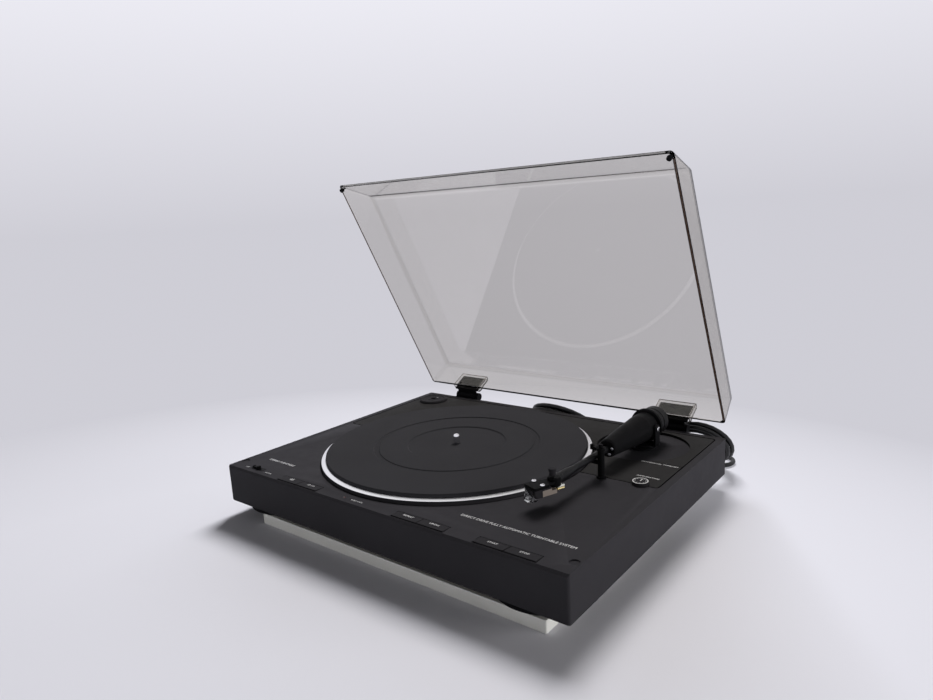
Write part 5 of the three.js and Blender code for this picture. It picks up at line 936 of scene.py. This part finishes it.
KEY_BACK, KEY_DEPTH, KEY_SLOPE = -157.3, 10.9, -5
KEY_MIDDLE = KEY_BACK - KEY_DEPTH / 2
KEY_FALL = math.tan(math.radians(KEY_SLOPE))
KEY_SKIRT, KEY_GAP, LEGEND_AHEAD = 2.2, 0.05, 4.1
KEYS = (
    ("speed", "left", -116.1, "45", 5.6),
    ("speed", "right", -85.5, "33 1/3", 9.6),
    ("cue", "left", 48.9, "REPEAT", 12),
    ("cue", "right", 79.5, "UP/DN", 10.4),
    ("start", "left", 141.3, "START", 9.6),
    ("start", "right", 171.9, "STOP", 8.4),
)


def make_key(kind, side, x, text, width):
    """A plate whose top leans: height = back height - fall x distance from the back edge."""
    body = f"{kind}_key_{side}"
    outline = rounded(30, KEY_DEPTH, 0.5, 4)
    rings = [level(outline, -KEY_GAP - KEY_SKIRT)]
    for inset, drop in ((0, 0.5), (0, 0.35), (0.1, 0.1), (0.35, 0), (0.6, 0)):
        ring = shrunk(outline, inset)
        rings.append(level(ring, -KEY_GAP - drop - KEY_FALL * (KEY_DEPTH / 2 - ring[:, 1])))
    cap = placed(loft(np.array(rings)), shift(x, KEY_MIDDLE, DECK))
    stem = placed(soft_box(4, 3, -8, -1.5, 0.4, 0.3), shift(x, KEY_BACK - KEY_DEPTH + 3, DECK))
    lug = rod(2.2, -3.5, 3.5, 0.3)
    lugs = [placed(lug, shift(x + aside, KEY_BACK - 2.2, DECK - 4.9), spin(90, "Y"))
            for aside in (-11.5, 11.5)]
    make(f"{body}_cap", [cap, stem, *lugs], body, key_black, [f"{kind}_plate_{side}"])
    lettering(f"{body}_legend", text, x + 0.2, KEY_BACK - LEGEND_AHEAD, width, body,
              DECK - KEY_GAP - KEY_FALL * LEGEND_AHEAD, KEY_SLOPE)


for row in KEYS:
    make_key(*row)
for row in (
        ("power_legend_off", "OFF", -191.9, -163, 5.4),
        ("power_legend_on", "POWER ON", -155, -163, 10.4),
        ("plain_legend", "STEREO TURNTABLE", -168.5, -134.8, 43),
        ("lamp_legend", "SPEED LOCK", -16, -163.1, 15),
        ("dial_legend", "ANTI-SKATING", 190, 26.6, 23),
        ("line_legend", "DIRECT DRIVE FULLY AUTOMATIC TURNTABLE SYSTEM", 144.5, -133.4, 115),
        ("arm_legend", "STATIC BALANCED", 177, 63.8, 21.4),
        ("arm_word_legend", "TONEARM", 197.2, 64, 15.6),
        ("size_legend", "45", ADAPTOR_X, 146.6, 4.4, "adaptor", 60.5)):
    lettering(*row)

# Controls and feet

PRINT_LOW, PRINT_HIGH = 61.28, 61.36
TICKS = 10
TEETH, TOOTH_DEPTH, TOOTH_STEPS = 28, 0.3, 6


def knurled(radius, low, high):
    """A ring whose radius swings at each tooth: r = radius - tooth depth x |sin(teeth a / 2)|."""
    angle = np.linspace(0, 2 * np.pi, TEETH * TOOTH_STEPS, endpoint=False)
    wave = radius - TOOTH_DEPTH * np.abs(np.sin(TEETH * angle / 2))
    outline = np.column_stack([wave * np.cos(angle), wave * np.sin(angle)])
    rings = [level(outline * scale, height) for scale, height in (
        (0, low), (0.96, low), (1, low + 0.4), (1, high - 0.4), (0.96, high), (0, high))]
    return loft(np.array(rings), caps=False)


def make_dial():
    """A knurled cap with a thin printed ring, ten ticks inside it and a pointer line."""
    place = shift(DIAL_X, DIAL_Y)
    face = lathe([(0, 60.6), (7.7, 60.6), (7.7, 61.2), (7.3, 61.3), (0, 61.3)], 0.08, 3, 64)
    cap = [knurled(8, 55.6, 60.9), face, rod(2.5, 41.5, 56)]
    make("dial_cap", moved(cap, place), "dial", key_black, ["antiskate_dial"])
    circle = [(6.6, PRINT_LOW), (7.4, PRINT_LOW), (7.4, PRINT_HIGH), (6.6, PRINT_HIGH),
              (6.6, PRINT_LOW)]
    tick = soft_box(0.4, 1.5, PRINT_LOW, PRINT_HIGH, 0.1, 0.02)
    marks = [turned(circle, 72),
             placed(soft_box(0.9, 5, PRINT_LOW, PRINT_HIGH, 0.2, 0.02), shift(0, 2.2))]
    marks += [placed(tick, spin(360 / TICKS * (k + 0.5), "Z"), shift(0, 5.4)) for k in range(TICKS)]
    make("dial_marks", moved(marks, place), "dial", lettering_white)


def make_switch():
    """A low slider's side outline is carried across; a thin frame lies round it on the deck."""
    place = shift(SWITCH_X, SWITCH_Y, DECK)
    side = [(-5.6, 0.35), (5.6, 0.35), (5.6, 3.3), (5.2, 3.7), (3, 3.7), (2.2, 2.3), (-3.4, 2.1),
            (-4.2, 2.7), (-5.2, 2.7), (-5.6, 2.3)]
    cap = placed(plate(side, soft_rim(-1, 2.3, 0.3, 3)), FORWARD)
    stem = placed(soft_box(3, 1.2, -10, 1, 0.3, 0.1), shift(0, -0.4))
    make("switch_cap", moved([cap, stem], place), "switch", housing_black,
         ["power_switch"])
    outer, inner = rounded(19.4, 6.2, 0.8), rounded(10, 2.6, 0.4)
    rings = [level(outline, height) for outline, height in (
        (inner, 0), (inner, 0.2), (outer, 0.25), (outer, 0), (inner, 0))]
    surround = placed(loft(np.array(rings), caps=False), place, shift(2.5))
    make("switch_surround", [surround], "cabinet", housing_black)


make_dial()
make_switch()
# A lens has a low domed top.
turned_piece("lamp_dome", "indicator_lamp", "cabinet", lamp_red, shift(LAMP_X, LAMP_Y, DECK),
             (0.15, 4, 32), [(0, -8), (1.5, -8), (1.5, -0.1), (1.3, 0.35), (0.8, 0.65), (0, 0.75)])
# A wide ring has a bevelled shoulder, and the stem that snaps into the base.
for end, y in (("front", FOOT_FRONT), ("back", FOOT_BACK)):
    for side, x in (("left", -FOOT_X), ("right", FOOT_X)):
        turned_piece(f"foot_ring_{end}_{side}", f"foot_{end}_{side}", "cabinet", foot_rubber,
                     shift(x, y), (0.4, 4, 96), [
                         (0, 11.9), (44.5, 11.9), (46, 13), (46, 15.4), (44.5, 16.9), (38, 17.9),
                         (8, 17.9), (8, 20.5), (10, 20.5), (3, 24), (0, 24)])

# Solids that keep their surface, and the board

SOFTENED = [
    ("plinth", "cabinet", "black_plastic", satin_black, 0.5),
    ("deck_panel", "cabinet", "black_plastic", panel_black, 0.25),
    ("arm_base", "cabinet", "black_metal", painted_metal, 0.4),
]
for solid, body in (("hinge_tongue", "cover"), ("hinge_bracket", "cabinet")):
    for side in ("left", "right"):
        SOFTENED.append((f"{solid}_{side}", body, "black_metal", painted_metal, 0.3))
KEPT = {
    "bottom_cover": painted_metal, "bearing_housing": brass, "rotor_magnet": iron,
    "motor_stator": circuit, "transformer": iron, "control_board": circuit, "plate_rod": steel,
    "cover_bumper_left": foot_rubber, "cover_bumper_right": foot_rubber,
}


def softened(solid, body, slot, finish, width):
    """The solid's own surface, with its sharp edges rounded by a bevel of this width."""
    mesh = finished(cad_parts[solid].data.copy(), finish, from_solid=True)
    piece = added(f"{solid}_soft", mesh, body, [solid])
    bevel = piece.modifiers.new("edges", "BEVEL")
    bevel.width, bevel.segments, bevel.harden_normals = width * MM, 2, True
    bevel.limit_method, bevel.angle_limit = "ANGLE", BEVELLED


for row in SOFTENED:
    softened(*row)
for solid, finish in KEPT.items():
    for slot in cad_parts[solid].material_slots:
        slot.material = finish
# A flat board has nearly sharp corners and edges.
board = soft_box(BOARD_WIDTH, BOARD_DEPTH, 0, BOARD_HEIGHT, 1.5, 0.5)
make("base_board_soft", [placed(board, shift(BOARD_X, BOARD_Y))], "cabinet", board_paint,
     ["base_board"])

# Floor, light and air

WALL_TONE = (0.62, 0.615, 0.67)
UPPER_TONE = (0.87, 0.865, 0.93)
CEILING_TONE = (0.95, 0.95, 0.97)
FLOOR_TONE = (0.74, 0.735, 0.78)
FLOOR_ROUGHNESS = 0.7
LIT_CENTRE, FADE_START, FADE_END = (0.05, -0.4, 0), 0.45, 0.9
AIR_TONE, AIR_LIGHT = (0.93, 0.93, 1), 0.035
UPPER_HEIGHT, CEILING_HEIGHT = 0.32, 0.8


def make_floor():
    """A wide pale disc; its share of air tone = (distance from LIT_CENTRE - start) / (end - start)."""
    disc = bpy.data.meshes.new("floor")
    points, faces = turned([(0, 0), (0.6, 0), (1.6, 0), (9, 0)], 96)
    disc.from_pydata(points.tolist(), [], faces)
    look = bpy.data.materials.new("floor_tone")
    look.use_nodes = True
    tree = look.node_tree
    shader = tree.nodes["Principled BSDF"]
    feed(tree, FLOOR_TONE, shader.inputs["Base Color"])
    feed(tree, FLOOR_ROUGHNESS, shader.inputs["Roughness"])
    distance = vector(tree, "DISTANCE", object_place(tree), LIT_CENTRE, "Value")
    far = span(tree, distance, FADE_START, FADE_END, 0, 1)
    air = node(tree, "Emission", {"Color": WALL_TONE})
    mix_surfaces(tree, far, shader.outputs[0], air, tree.nodes["Material Output"])
    disc.materials.append(look)
    floor = linked("floor", disc)


def make_world():
    """The air is dim for diffuse light, and has the backdrop's tone where it is seen or mirrored."""
    world = bpy.data.worlds.new("air")
    scene.world = world
    world.use_nodes = True
    tree = world.node_tree
    plain = tree.nodes["Background"]
    feed(tree, AIR_TONE, plain.inputs["Color"])
    feed(tree, AIR_LIGHT, plain.inputs["Strength"])
    height = node(tree, "SeparateXYZ", {0: node(tree, "TexCoord", {}, "Generated")}, "Z")
    tone = node(tree, "ValToRGB", {"Fac": height})
    ramp = tone.node.color_ramp
    ramp.elements[0].color = (*WALL_TONE, 1)
    ramp.elements[1].color = (*CEILING_TONE, 1)
    ramp.elements[1].position = CEILING_HEIGHT
    ramp.elements.new(UPPER_HEIGHT).color = (*UPPER_TONE, 1)
    seen = node(tree, "Background", {"Color": tone})
    path = tree.nodes.new("ShaderNodeLightPath").outputs
    ray = calc(tree, "MAXIMUM", path["Is Camera Ray"], path["Is Transmission Ray"])
    ray = calc(tree, "MAXIMUM", ray, path["Is Glossy Ray"])
    mix_surfaces(tree, ray, plain.outputs[0], seen, tree.nodes["World Output"])


def soft_light(name, place, target, size, power, colour):
    """An area lamp that faces its target and is itself neither seen, seen through nor mirrored."""
    data = bpy.data.lights.new(name, "AREA")
    data.shape, data.energy, data.color = "RECTANGLE", power, colour
    data.size, data.size_y = size
    lamp = linked(name, data)
    lamp.visible_camera = lamp.visible_transmission = lamp.visible_glossy = False
    aim = (Vector(place) - Vector(target)).to_track_quat("Z", "Y").to_matrix().to_4x4()
    lamp.matrix_world = Matrix.Translation(place) @ aim


make_floor()
make_world()
soft_light("back_softbox", (-0.6, 1.5, 2.15), (0.1, 0, 0.1), (1.1, 0.9), 95, (0.98, 0.98, 1))
soft_light("side_softbox", (2, 0.5, 0.36), (0, 0, 0.04), (1.4, 0.5), 27, (1, 0.99, 0.99))
soft_light("front_softbox", (-0.6, -1.9, 0.3), (0, 0, 0.04), (1.4, 0.45), 6, (1, 0.99, 0.99))

bpy.context.view_layer.update()
